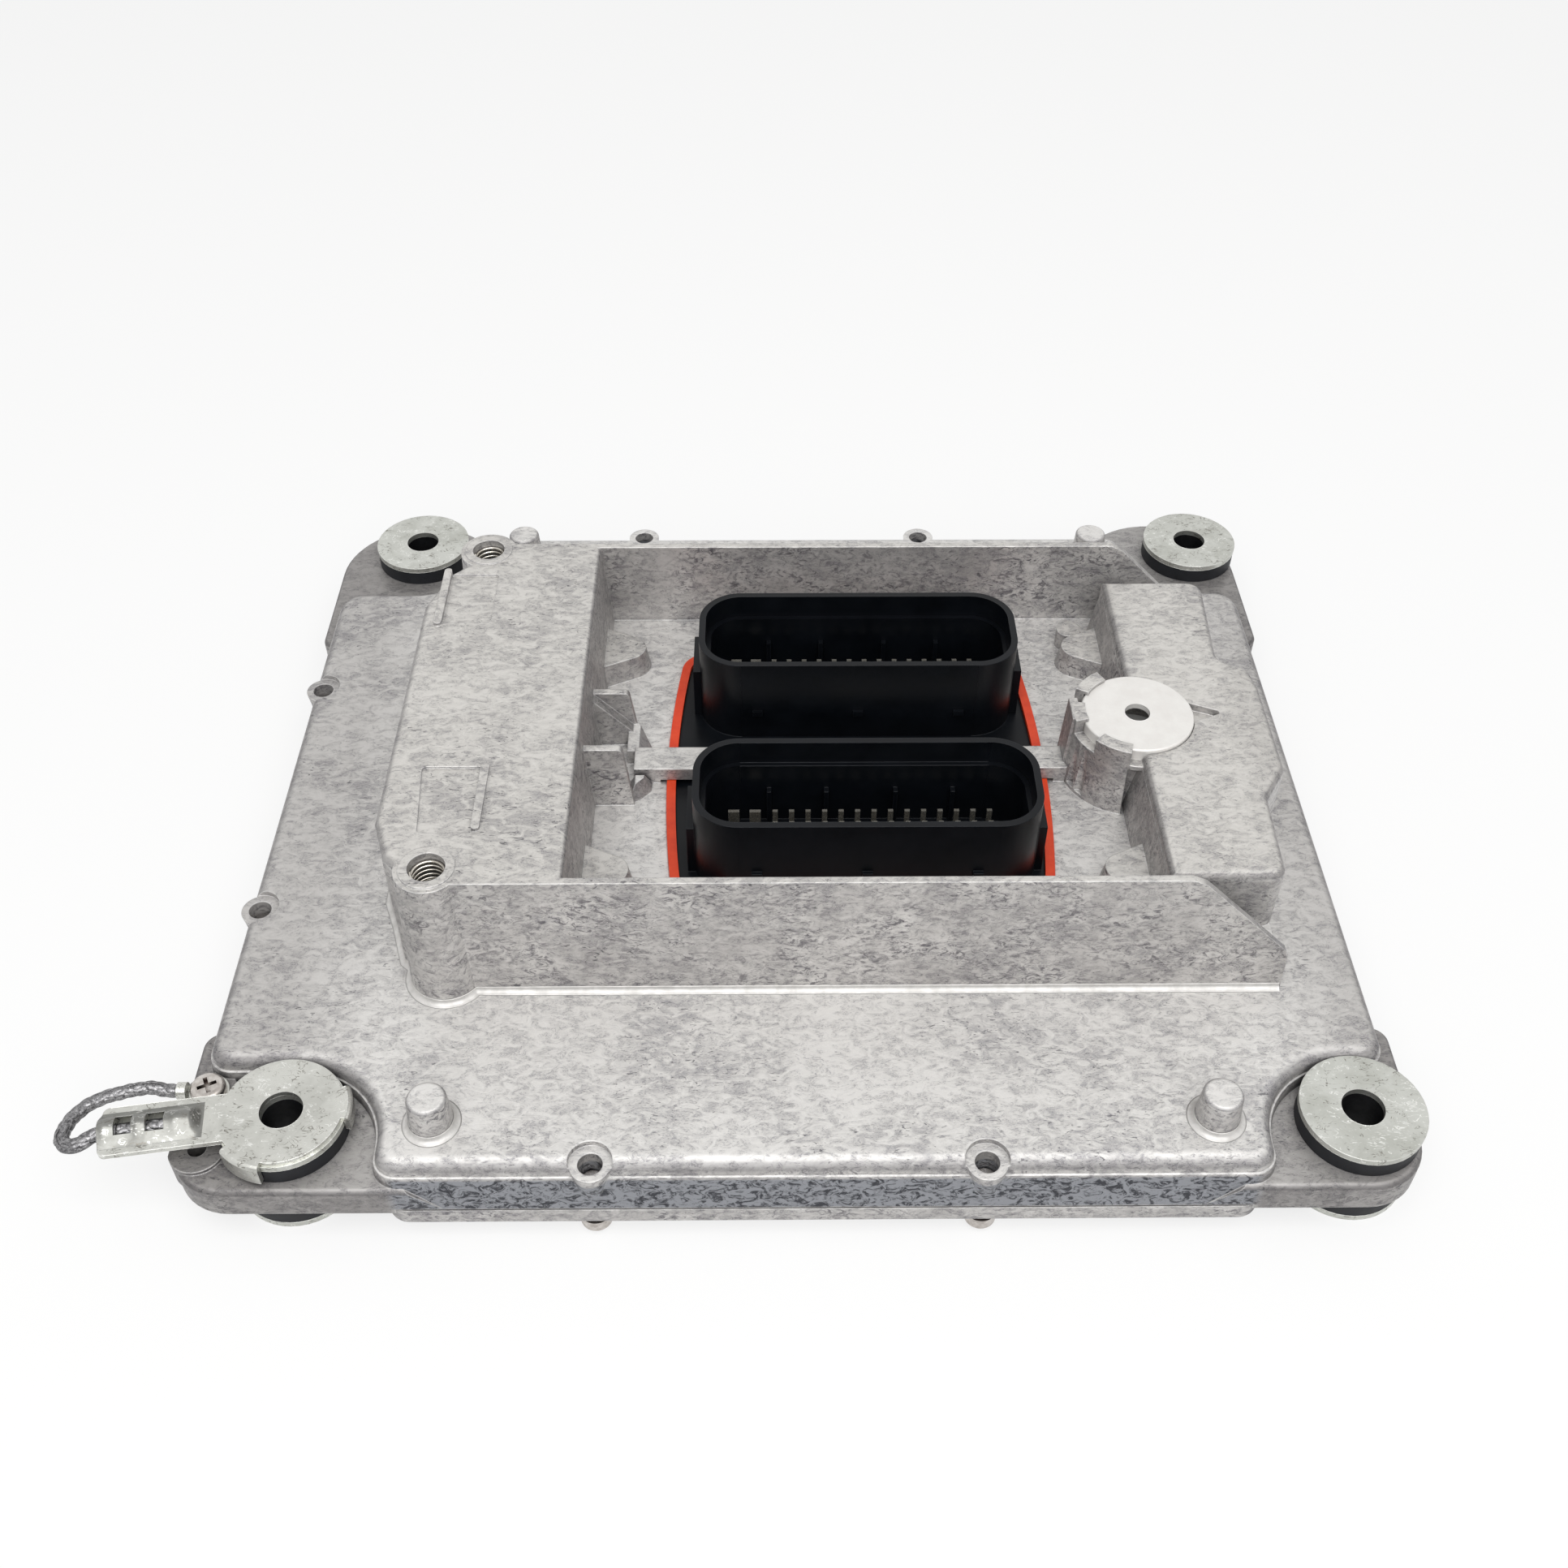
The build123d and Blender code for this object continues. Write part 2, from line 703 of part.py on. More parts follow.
# Two machined bosses on the front left ear: one takes the ground screw, one is spare
def ground_bosses():
    top = plate_top - ground_boss_top_drop
    pair = rod(ground_x, ground_y, ground_boss_r, ear_bottom + 2.0, top)
    pair += rod(spare_boss_x, spare_boss_y, ground_boss_r, ear_bottom + 2.0, top)
    return pair & box(ear_left, 0, skirt_front, 0, 0, far)


def bottom_cover():
    cover = lift(cover_plan(0.0), cover_bottom, cover_top)
    cover = chamfer(top_edges(cover, cover_bottom), 1.2)
    cover -= lift(cavity_plan(), cover_inner, cover_top + 1.0)
    pedestal_top = board_bottom - driver_t - pad_t
    for x in driver_xs:
        half = driver_size / 2 + 2.0
        cover += box(x - half, x + half, driver_y - half, driver_y + half, cover_inner - 0.5, pedestal_top)
    for x, y in cover_screw_places:
        cover -= rod(x, y, cover_screw_d / 2 + 2 * fit_gap, 0, cover_top + 1.0)
    return cover


def cover_gasket():
    rim = body_plan(skirt_spread - gasket_inset) & cover_plan(gasket_inset)
    rim -= cavity_plan()
    for x, y in cover_screw_places:
        rim -= Pos(x, y) * Circle(cover_screw_d / 2 + 2 * fit_gap)
    return lift(rim, cover_top, parting)


def cover_screws():
    screws = []
    for x, y in cover_screw_places:
        screw = rod(x, y, cover_screw_head_d / 2, cover_bottom - cover_screw_head_h, cover_bottom)
        screw -= lift(Pos(x, y) * RegularPolygon(2.0, 6), cover_bottom - cover_screw_head_h, cover_bottom - 1.2)
        screw += rod(x, y, cover_screw_d / 2, cover_bottom, plate_top - lug_drop - 6.0)
        screws.append(screw)
    return screws


# Header: collar under the floor, flange in the opening, two open shells and posts down to the board
def connector_header():
    flange_top = deck_top - flange_drop
    opening = opening_plan()
    inner = offset(opening, -seal_w)
    body = lift(offset(opening, collar_w), deck_under - collar_t, deck_under)
    body += lift(inner, deck_under, flange_top)
    for y in shells:
        body += lift(shell_plan(y, 0.0), flange_top, plate_top + shell_top_h)
        ends = []
        for side in (-1, 1):
            edge = shell_x + side * shell_w / 2
            xs = sorted((edge - side * 2.0, edge + side * 1.6))
            ends.append(box(xs[0], xs[1], y - 6.0, y + 8.0, flange_top - 0.5, plate_top + shell_top_h - 9.0))
        for end in ends:
            body += end
        for x in (shell_x - 25.0, shell_x, shell_x + 25.0):
            body += box(x - 1.2, x + 1.2, y - shell_d / 2 - 0.9, y, flange_top + 7.5, flange_top + 8.9)
    for y in shells:
        body -= lift(shell_plan(y, shell_t), plate_top + shell_ledge_h, plate_top + shell_top_h + 1.0)
        body -= lift(shell_plan(y, shell_t + shell_ledge), plate_top + shell_floor_h, plate_top + shell_ledge_h)
        for x in (-11.5, 2.0, 18.3, 31.8):
            back = y + shell_d / 2 - shell_t - shell_ledge
            body += box(x - 0.5, x + 0.5, back - 1.6, back + 0.5, plate_top + shell_floor_h - 0.5, plate_top + pin_tip_h + 2.0)
    for x, y in header_posts():
        body += rod(x, y, header_post_r, board_top, deck_under - collar_t + 0.5)
    for y in shells:
        for x, dy in small_pin_places():
            body -= pin_box(x, y + dy, pin_w, pin_d)
        for x, dy in blade_places():
            body -= pin_box(x, y + dy, blade_w, blade_d)
    return body


def shell_plan(y, inset):
    plan = RectangleRounded(shell_w - 2 * inset, shell_d - 2 * inset, shell_corner - inset)
    return Pos(shell_x, y) * plan


def header_posts():
    middle = (header_front + header_back) / 2
    xs = (header_left + 4.0, header_right - 4.0)
    return [(x, y) for x in xs for y in (header_front + 4.0, header_back - 4.0)] + [(xs[0], middle), (xs[1], middle)]


def small_pin_places():
    rows = [(row - (pin_rows - 1) / 2) * pin_pitch_y for row in range(pin_rows)]
    return [(pin_first_x + column * pin_pitch_x, dy) for column in range(pin_columns) for dy in rows]


def blade_places():
    rows = [(row - (blade_rows - 1) / 2) * blade_pitch_y for row in range(blade_rows)]
    return [(x, dy) for x in blade_xs for dy in rows]


def pin_box(x, y, w, d):
    bottom = board_bottom - pin_below_board
    top = plate_top + pin_tip_h
    return box(x - w / 2, x + w / 2, y - d / 2, y + d / 2, bottom, top)


def contacts(y, places, w, d):
    return [pin_box(x, y + dy, w, d) for x, dy in places]


def header_seal():
    opening = opening_plan()
    gap = opening - offset(opening, -seal_w)
    return lift(gap, deck_under, deck_top + seal_stand)


def vent_cap():
    cap = rod(vent_x, vent_y, vent_cap_r, vent_seat, vent_top)
    cap = fillet(top_edges(cap, vent_top), 0.6)
    cap -= rod(vent_x, vent_y, vent_bore_r, vent_seat, vent_top - vent_cap_skirt)
    return cap - rod(vent_x, vent_y, vent_hole_d / 2, vent_seat, vent_top)


def threaded_inserts():
    top = block_top + insert_ring_h - insert_sink
    pieces = []
    for x, y in inserts:
        pieces.append(ring(x, y, insert_od / 2, insert_bore_d / 2, top - insert_h, top))
    return pieces


def washers(z):
    return [ring(x, y, washer_d / 2, mount_hole_d / 2, z, z + washer_t) for x, y in mounts]


def upper_isolators():
    pieces = []
    for x, y in mounts:
        piece = rod(x, y, isolator_d / 2, ear_top, upper_washer_z)
        piece += rod(x, y, ear_hole_d / 2 - fit_gap, ear_top - ear_t / 2 + fit_gap, ear_top)
        pieces.append(piece - rod(x, y, sleeve_d / 2, 0, upper_washer_z))
    return pieces


def lower_isolators():
    pieces = []
    for x, y in mounts:
        piece = rod(x, y, isolator_d / 2, washer_t, ear_bottom)
        piece += rod(x, y, ear_hole_d / 2 - fit_gap, ear_bottom, ear_top - ear_t / 2)
        pieces.append(piece - rod(x, y, sleeve_d / 2, 0, ear_top))
    return pieces


def spacer_sleeves():
    return [ring(x, y, sleeve_d / 2, mount_hole_d / 2, washer_t, upper_washer_z) for x, y in mounts]


def circuit_board():
    plan = fillet(rect(board_left, board_right, board_front, board_back).vertices(), 2.0)
    for x, y in posts:
        plan -= Pos(x, y) * Circle(board_screw_d / 2 + fit_gap)
    for y in shells:
        for x, dy in small_pin_places():
            plan -= Pos(x, y + dy) * Rectangle(pin_w, pin_d)
        for x, dy in blade_places():
            plan -= Pos(x, y + dy) * Rectangle(blade_w, blade_d)
    return lift(plan, board_bottom, board_top)


def board_screws():
    pieces = []
    for x, y in posts:
        head = rod(x, y, board_screw_head_d / 2, board_bottom - board_screw_head_h, board_bottom)
        pieces.append(head + rod(x, y, board_screw_d / 2, board_bottom, board_top + board_screw_l))
    return pieces


def board_box(x, y, w, d, h):
    return box(x - w / 2, x + w / 2, y - d / 2, y + d / 2, board_top, board_top + h)


def main_processor():
    body = board_box(-76.0, -34.0, 27.0, 27.0, 1.8)
    return chamfer(top_edges(body, board_top + 1.8), 0.4)


def memory_chip():
    body = board_box(-76.0, -10.0, 18.0, 12.0, 1.2)
    return chamfer(top_edges(body, board_top + 1.2), 0.3)


def driver_chips():
    half = driver_size / 2
    chips = []
    for x in driver_xs:
        chip = box(x - half, x + half, driver_y - half, driver_y + half, board_bottom - driver_t, board_bottom)
        chips.append(chip)
    return chips


def thermal_pads():
    half = driver_size / 2 + 1.0
    top = board_bottom - driver_t
    return [box(x - half, x + half, driver_y - half, driver_y + half, top - pad_t, top) for x in driver_xs]


def supply_capacitors():
    cans = []
    for y in (6.0, 18.0):
        for x in (-84.0, -70.0):
            can = rod(x, y, 5.0, board_top, board_top + 25.0)
            cans.append(fillet(top_edges(can, board_top + 25.0), 0.8))
    return cans


def power_inductors():
    return [fillet(board_box(x, 31.5, 12.0, 12.0, 8.0).edges().filter_by(Axis.Z), 2.0) for x in (-85.0, -70.0)]


def clock_crystal():
    body = board_box(-76.0, -52.0, 11.4, 4.7, 3.6)
    return fillet(body.edges().filter_by(Axis.Z), 2.2)


def pressure_sensor():
    body = board_box(vent_x, vent_y, 9.0, 9.0, 3.4)
    return body + rod(vent_x, vent_y, 2.0, board_top + 3.4, board_top + 6.0)


def vent_membrane():
    return rod(vent_x, vent_y, vent_bore_r - 2.5, vent_shelf, vent_shelf + 0.5)


def along_arm(reach, across, z):
    angle = radians(arm_angle)
    x = -mount_x + reach * cos(angle) - across * sin(angle)
    y = -mount_y + reach * sin(angle) + across * cos(angle)
    return (x, y, z)


# Stamped terminal clamped on the front left mount, with an arm, a crimp barrel and two bent claws
def ground_terminal():
    z = washer_top
    mid = z + terminal_t * 0.75
    arm_start = 6.0
    arm = Rot(0, 0, arm_angle) * (Pos((arm_start + arm_reach) / 2, 0) * RectangleRounded(arm_reach - arm_start, arm_w, 1.5))
    plan = Circle(terminal_r) + arm
    body = lift(Pos(-mount_x, -mount_y) * plan, z, z + terminal_t)
    start = along_arm(barrel_start, 0, mid)
    barrel = Plane(origin=start, z_dir=(cos(radians(arm_angle)), sin(radians(arm_angle)), 0))
    length = arm_reach - barrel_start
    body += extrude(barrel * Circle(barrel_r), length)
    body -= extrude(barrel * Circle(braid_d / 2 + fit_gap), length)
    for near, far_end in (window_near, window_far):
        cut = Pos((near + far_end) / 2, 0, z + terminal_t + 2.0) * Box(far_end - near, 2 * braid_d, 4.0)
        body -= Pos(-mount_x, -mount_y, 0) * (Rot(0, 0, arm_angle) * cut)
    body -= rod(-mount_x, -mount_y, mount_hole_d / 2, 0, far / 2)
    # Each claw is bent down over the washer's rim, as part of a ring
    near = washer_d / 2 + fit_gap
    top = z + terminal_t
    for start_angle, end_angle, drop in ((222.0, 262.0, 5.4), (-9.0, 26.0, 3.9)):
        section = [
            (near - 3.0, 0, z),
            (near - 3.0, 0, top),
            (near + 0.4, 0, top),
            (near + 0.9, 0, top - 0.3),
            (near + terminal_t, 0, top - 0.9),
            (near + terminal_t, 0, top - drop),
            (near, 0, top - drop),
            (near, 0, z),
        ]
        face = make_face(Polyline(*section, close=True))
        claw = revolve(face, axis=Axis.Z, revolution_arc=end_angle - start_angle)
        body += Pos(-mount_x, -mount_y, 0) * (Rot(0, 0, start_angle) * claw)
    return body


# Braided strap: straight in the barrel, then a short loop back to the ring under the ground screw
def ground_braid():
    z = washer_top + terminal_t * 0.75
    start = along_arm(barrel_start + 0.5, 0, z)
    inside = along_arm(arm_reach - 3.5, 0, z)
    end_z = plate_top - ground_boss_top_drop + socket_r - 0.2
    route = [
        inside,
        along_arm(arm_reach + 0.6, 0, z),
        (-153.6, -108.3, 23.5),
        (-154.9, -109.5, 23.3),
        (-156.6, -110.1, 23.0),
        (-158.4, -109.8, 22.6),
        (-159.8, -108.6, 22.2),
        (-160.5, -106.8, 21.8),
        (-160.5, -104.0, 21.3),
        (-159.6, -100.9, 20.9),
        (-157.8, -98.2, 20.6),
        (-155.0, -96.2, 20.5),
        (-151.6, -95.0, 20.5),
        (-148.1, -94.0, 20.5),
        (-144.9, -93.5, 20.4),
        (ground_x - socket_reach - 2.6, ground_y, end_z),
        (ground_x - socket_reach, ground_y, end_z),
    ]
    points = [Vector(*p) for p in route]
    runs = [b - a for a, b in zip(points, points[1:])]
    radii = []
    for before, after in zip(runs, runs[1:]):
        turn = radians(before.get_angle(after))
        radii.append(0.45 * min(before.length, after.length) / tan(turn / 2))
    print("braid radii", [round(r, 1) for r in radii])
    path = FilletPolyline(*points, radius=radii)
    profile = Plane(origin=points[0], z_dir=runs[0]) * Circle(braid_d / 2)
    loop = sweep(profile, path=path)
    print("braid length", round(path.length + (Vector(*inside) - Vector(*start)).length, 1))
    print("braid volume", round(loop.volume, 1), "section by length", round(profile.area * path.length, 1))
    crimped = extrude(Plane(origin=start, z_dir=runs[0]) * Circle(braid_d / 2), (points[0] - Vector(*start)).length)
    return loop + crimped


def braid_ring():
    z = plate_top - ground_boss_top_drop
    tongue = box(ground_x - 6.0, ground_x, ground_y - 2.0, ground_y + 2.0, z, z + ring_t)
    body = rod(ground_x, ground_y, ground_washer_r, z, z + ring_t) + tongue
    socket = Plane(origin=(ground_x - socket_reach, ground_y, z + socket_r - 0.2), z_dir=(1, 0, 0)) * Circle(socket_r)
    body += extrude(socket, 2.0)
    body -= box(-far, far, -far, far, 0, z)
    return body - rod(ground_x, ground_y, ground_screw_d / 2 + fit_gap, 0, far / 2)


def ground_washer():
    z = plate_top - ground_boss_top_drop + ring_t
    return ring(ground_x, ground_y, ground_washer_r, ground_screw_d / 2 + fit_gap, z, z + ring_t)


def ground_screw():
    z = plate_top - ground_boss_top_drop + 2 * ring_t
    head = rod(ground_x, ground_y, ground_head_r, z, z + ground_head_h)
    head = fillet(top_edges(head, z + ground_head_h), 1.2)
    for angle in (25.0, 115.0):
        slot = Rot(0, 0, angle) * Box(4.2, 0.9, 2.4)
        head -= Pos(ground_x, ground_y, z + ground_head_h) * slot
    return head + rod(ground_x, ground_y, ground_screw_d / 2, ear_bottom + 1.5, z)


def as_list(shape):
    return shape if isinstance(shape, list) else [shape]


nodes = {
    "upper_housing": upper_housing,
    "bottom_cover": bottom_cover,
    "cover_gasket": cover_gasket,
    "cover_screws": cover_screws,
    "connector_header": connector_header,
    "header_seal": header_seal,
    "signal_pins_rear": lambda: contacts(shell_rear_y, small_pin_places(), pin_w, pin_d),
    "signal_pins_front": lambda: contacts(shell_front_y, small_pin_places(), pin_w, pin_d),
    "power_pins_rear": lambda: contacts(shell_rear_y, blade_places(), blade_w, blade_d),
    "power_pins_front": lambda: contacts(shell_front_y, blade_places(), blade_w, blade_d),
    "vent_cap": vent_cap,
    "vent_membrane": vent_membrane,
    "threaded_inserts": threaded_inserts,
    "upper_washers": lambda: washers(upper_washer_z),
    "lower_washers": lambda: washers(0.0),
    "upper_isolators": upper_isolators,
    "lower_isolators": lower_isolators,
    "spacer_sleeves": spacer_sleeves,
    "ground_terminal": ground_terminal,
    "ground_braid": ground_braid,
    "braid_ring": braid_ring,
    "ground_washer": ground_washer,
    "ground_screw": ground_screw,
    "circuit_board": circuit_board,
    "board_screws": board_screws,
    "main_processor": main_processor,
    "memory_chip": memory_chip,
    "driver_chips": driver_chips,
    "thermal_pads": thermal_pads,
    "supply_capacitors": supply_capacitors,
    "power_inductors": power_inductors,
    "clock_crystal": clock_crystal,
    "pressure_sensor": pressure_sensor,
}

for name, make in nodes.items():
    pieces = as_list(make())
    shape = pieces[0] if len(pieces) == 1 else Compound(children=[Part() + piece for piece in pieces])
    export_step(shape, f"parts/{name}.step")
    print(name, len(shape.solids()), "solid(s)", round(shape.volume, 1), "cubic millimetres")
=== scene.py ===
import json
import math
import random

import bmesh
import bpy
from mathutils import Matrix, Vector


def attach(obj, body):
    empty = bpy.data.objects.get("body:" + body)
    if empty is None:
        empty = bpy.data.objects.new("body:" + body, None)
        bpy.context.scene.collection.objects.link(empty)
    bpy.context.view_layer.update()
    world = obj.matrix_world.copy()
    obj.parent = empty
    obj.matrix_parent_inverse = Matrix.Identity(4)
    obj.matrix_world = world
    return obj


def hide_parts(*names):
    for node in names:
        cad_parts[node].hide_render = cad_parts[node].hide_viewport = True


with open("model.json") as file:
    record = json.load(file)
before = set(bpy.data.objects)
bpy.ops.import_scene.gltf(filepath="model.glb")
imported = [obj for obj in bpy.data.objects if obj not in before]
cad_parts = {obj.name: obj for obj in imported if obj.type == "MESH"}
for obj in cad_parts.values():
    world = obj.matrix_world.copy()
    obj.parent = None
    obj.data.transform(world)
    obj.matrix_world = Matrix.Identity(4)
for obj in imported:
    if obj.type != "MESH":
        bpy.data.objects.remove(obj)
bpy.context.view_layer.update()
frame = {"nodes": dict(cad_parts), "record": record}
mm = 0.001
print("frame loaded:", len(frame["nodes"]), "nodes")

# The view of the photograph: from in front of the unit, looking down at about 44 degrees
cameraLook = {
    "place": (-11.15 * mm, -307.18 * mm, 319.58 * mm),
    "downDegrees": 44.263,
    "turnDegrees": 0.646,
    "rollDegrees": -0.224,
    "lens": 38.25,
    "sensor": 36.0,
}

# The braided strap's route, from inside the crimp barrel to the ring under the ground screw, in millimetres
braidLook = {
    "route": [
        (-148.24, -106.91, 23.6),
        (-152.30, -107.51, 23.6),
        (-153.6, -108.3, 23.5),
        (-154.9, -109.5, 23.3),
        (-156.6, -110.1, 23.0),
        (-158.4, -109.8, 22.6),
        (-159.8, -108.6, 22.2),
        (-160.5, -106.8, 21.8),
        (-160.5, -104.0, 21.3),
        (-159.6, -100.9, 20.9),
        (-157.8, -98.2, 20.6),
        (-155.0, -96.2, 20.5),
        (-151.6, -95.0, 20.5),
        (-148.1, -94.0, 20.5),
        (-144.9, -93.5, 20.4),
        (-142.3, -94.0, 19.7),
        (-139.7, -94.0, 19.7),
    ],
    "crimped": [(-134.2, -104.83, 23.6), (-148.24, -106.91, 23.6)],
    "diameter": 3.2,
    "length": 43.6,
    "step": 0.35,
    "wovenHalf": (1.28, 1.12),  # half width and half height that the strands are laid round
    "crimpedHalf": (1.25, 1.1),
    "strandsEachWay": 5,
    "layLength": 22.0,
    "strandWidth": 1.75,
    "strandThickness": 0.45,
    "strandLift": 0.13,
    "wiresAcross": 6,  # fewer and thicker than the real ones, so that they show
    "wireRipple": 0.075,
    "strayWires": 9,
    "straySteps": (14, 26),  # fewest and most steps that a sprung wire spans
    "strayKeepOff": (6, 8),  # steps left free at the strap's start and end
    "straySwing": 1.2,  # radians round the strap, at most
    "strayReach": 1.5,
    "strayRise": 0.22,
    "straySink": 0.1,
    "strayRadius": 0.09,
    "straySides": 5,
    "seed": 7,
}


def toLinear(code):
    parts = [int(code[i:i + 2], 16) / 255 for i in (1, 3, 5)]
    return tuple(c / 12.92 if c <= 0.04045 else ((c + 0.055) / 1.055) ** 2.4 for c in parts) + (1.0,)


mathKind, rangeKind, mixKind = "ShaderNodeMath", "ShaderNodeMapRange", "ShaderNodeMix"
plus, minus, times, larger = ({"operation": name} for name in ("ADD", "SUBTRACT", "MULTIPLY", "MAXIMUM"))


# A node stands for its first live output
def socketOf(value):
    return next(s for s in value.outputs if s.enabled) if isinstance(value, bpy.types.Node) else value


# Adds one node, with its inputs in order or by name and its settings by name
def addNode(tree, kind, inputs=(), **settings):
    node = tree.nodes.new(kind)
    for name, value in settings.items():
        setattr(node, name, value)
    for key, value in inputs.items() if isinstance(inputs, dict) else enumerate(inputs):
        value = socketOf(value)
        if isinstance(value, bpy.types.NodeSocket):
            tree.links.new(value, node.inputs[key])
        else:
            node.inputs[key].default_value = value
    return node


def startMaterial(name, **shaderValues):
    material = bpy.data.materials.new(name)
    material.use_nodes = True
    tree = material.node_tree
    tree.nodes.clear()
    shader = addNode(tree, "ShaderNodeBsdfPrincipled", {k.replace("_", " "): v for k, v in shaderValues.items()})
    addNode(tree, "ShaderNodeOutputMaterial", {"Surface": shader})
    spot = addNode(tree, "ShaderNodeTexCoord").outputs["Object"]
    return material, tree, shader, spot


# A mottled pattern with grains of a size in millimetres. The finest, of blasting, moulding and plating, are drawn
# coarser than the real ones, so that they show.
def mottle(tree, spot, sizeMm, detail=3.0, rough=0.6, warp=0.0, stretch=(1.0, 1.0, 1.0), turn=0.0):
    turned = addNode(tree, "ShaderNodeMapping", {"Vector": spot, "Rotation": (0, 0, turn), "Scale": stretch})
    return addNode(tree, "ShaderNodeTexNoise", {
        "Vector": turned, "Scale": 1 / (sizeMm * mm), "Detail": detail, "Roughness": rough, "Distortion": warp,
    })


# Thin curled lines along a pattern's middle value: full near it, gone at some distance from it
def veins(tree, field, full, gone):
    apart = addNode(tree, mathKind, [addNode(tree, mathKind, [field, 0.5], **minus)], operation="ABSOLUTE")
    return addNode(tree, rangeKind, [apart, full, gone, 1.0, 0.0])


# Where all the masks lie at once
def overlap(tree, first, *others):
    for mask in others:
        first = addNode(tree, mathKind, [first, mask], **times)
    return first


# Coats over a base colour, each with where it lies, its colour and whether it covers or darkens
def addCoats(tree, colour, *coats):
    for mask, code, way in coats:
        values = {0: mask, 6: colour, 7: toLinear(code)}
        colour = addNode(tree, mixKind, values, data_type="RGBA", blend_type=way)
    return colour


# Two tones of one colour, the first where the pattern is low and the second where it is high
def twoTone(tree, pattern, low, high, lowCode, highCode):
    share = addNode(tree, rangeKind, [pattern, low, high, 0.0, 1.0])
    return addCoats(tree, toLinear(lowCode), (share, highCode, "MIX"))


# How much a point lies on a sharp outer edge: the rounded normal leans away from the face's own
def edgeMask(tree, radiusMm, low, high):
    rounded = addNode(tree, "ShaderNodeBevel", {"Radius": radiusMm * mm}, samples=6)
    flat = addNode(tree, "ShaderNodeNewGeometry").outputs["Normal"]
    lean = addNode(tree, "ShaderNodeVectorMath", [rounded, flat], operation="DOT_PRODUCT").outputs["Value"]
    return addNode(tree, rangeKind, [lean, low, high, 1.0, 0.0]), rounded


# How deep a point lies in an inner corner, for painted shade there
def cornerShadeMask(tree, reachMm, low, high):
    openness = addNode(tree, "ShaderNodeAmbientOcclusion", {"Distance": reachMm * mm}, samples=6).outputs["AO"]
    return addNode(tree, rangeKind, [openness, low, high, 1.0, 0.0])


# Joins a finish to its shader: its colour, and its roughness and fine relief where it has them
def joinFinish(tree, shader, colour, roughness, relief=None, depthMm=0.0, strength=0.5, rounded=None):
    joined = {"Base Color": colour}
    if roughness is not None:
        joined["Roughness"] = roughness
    if relief is not None:
        values = {"Height": relief, "Distance": depthMm * mm, "Strength": strength}
        if rounded is not None:
            values["Normal"] = rounded
        joined["Normal"] = addNode(tree, "ShaderNodeBump", values)
    for name, value in joined.items():
        tree.links.new(socketOf(value), shader.inputs[name])
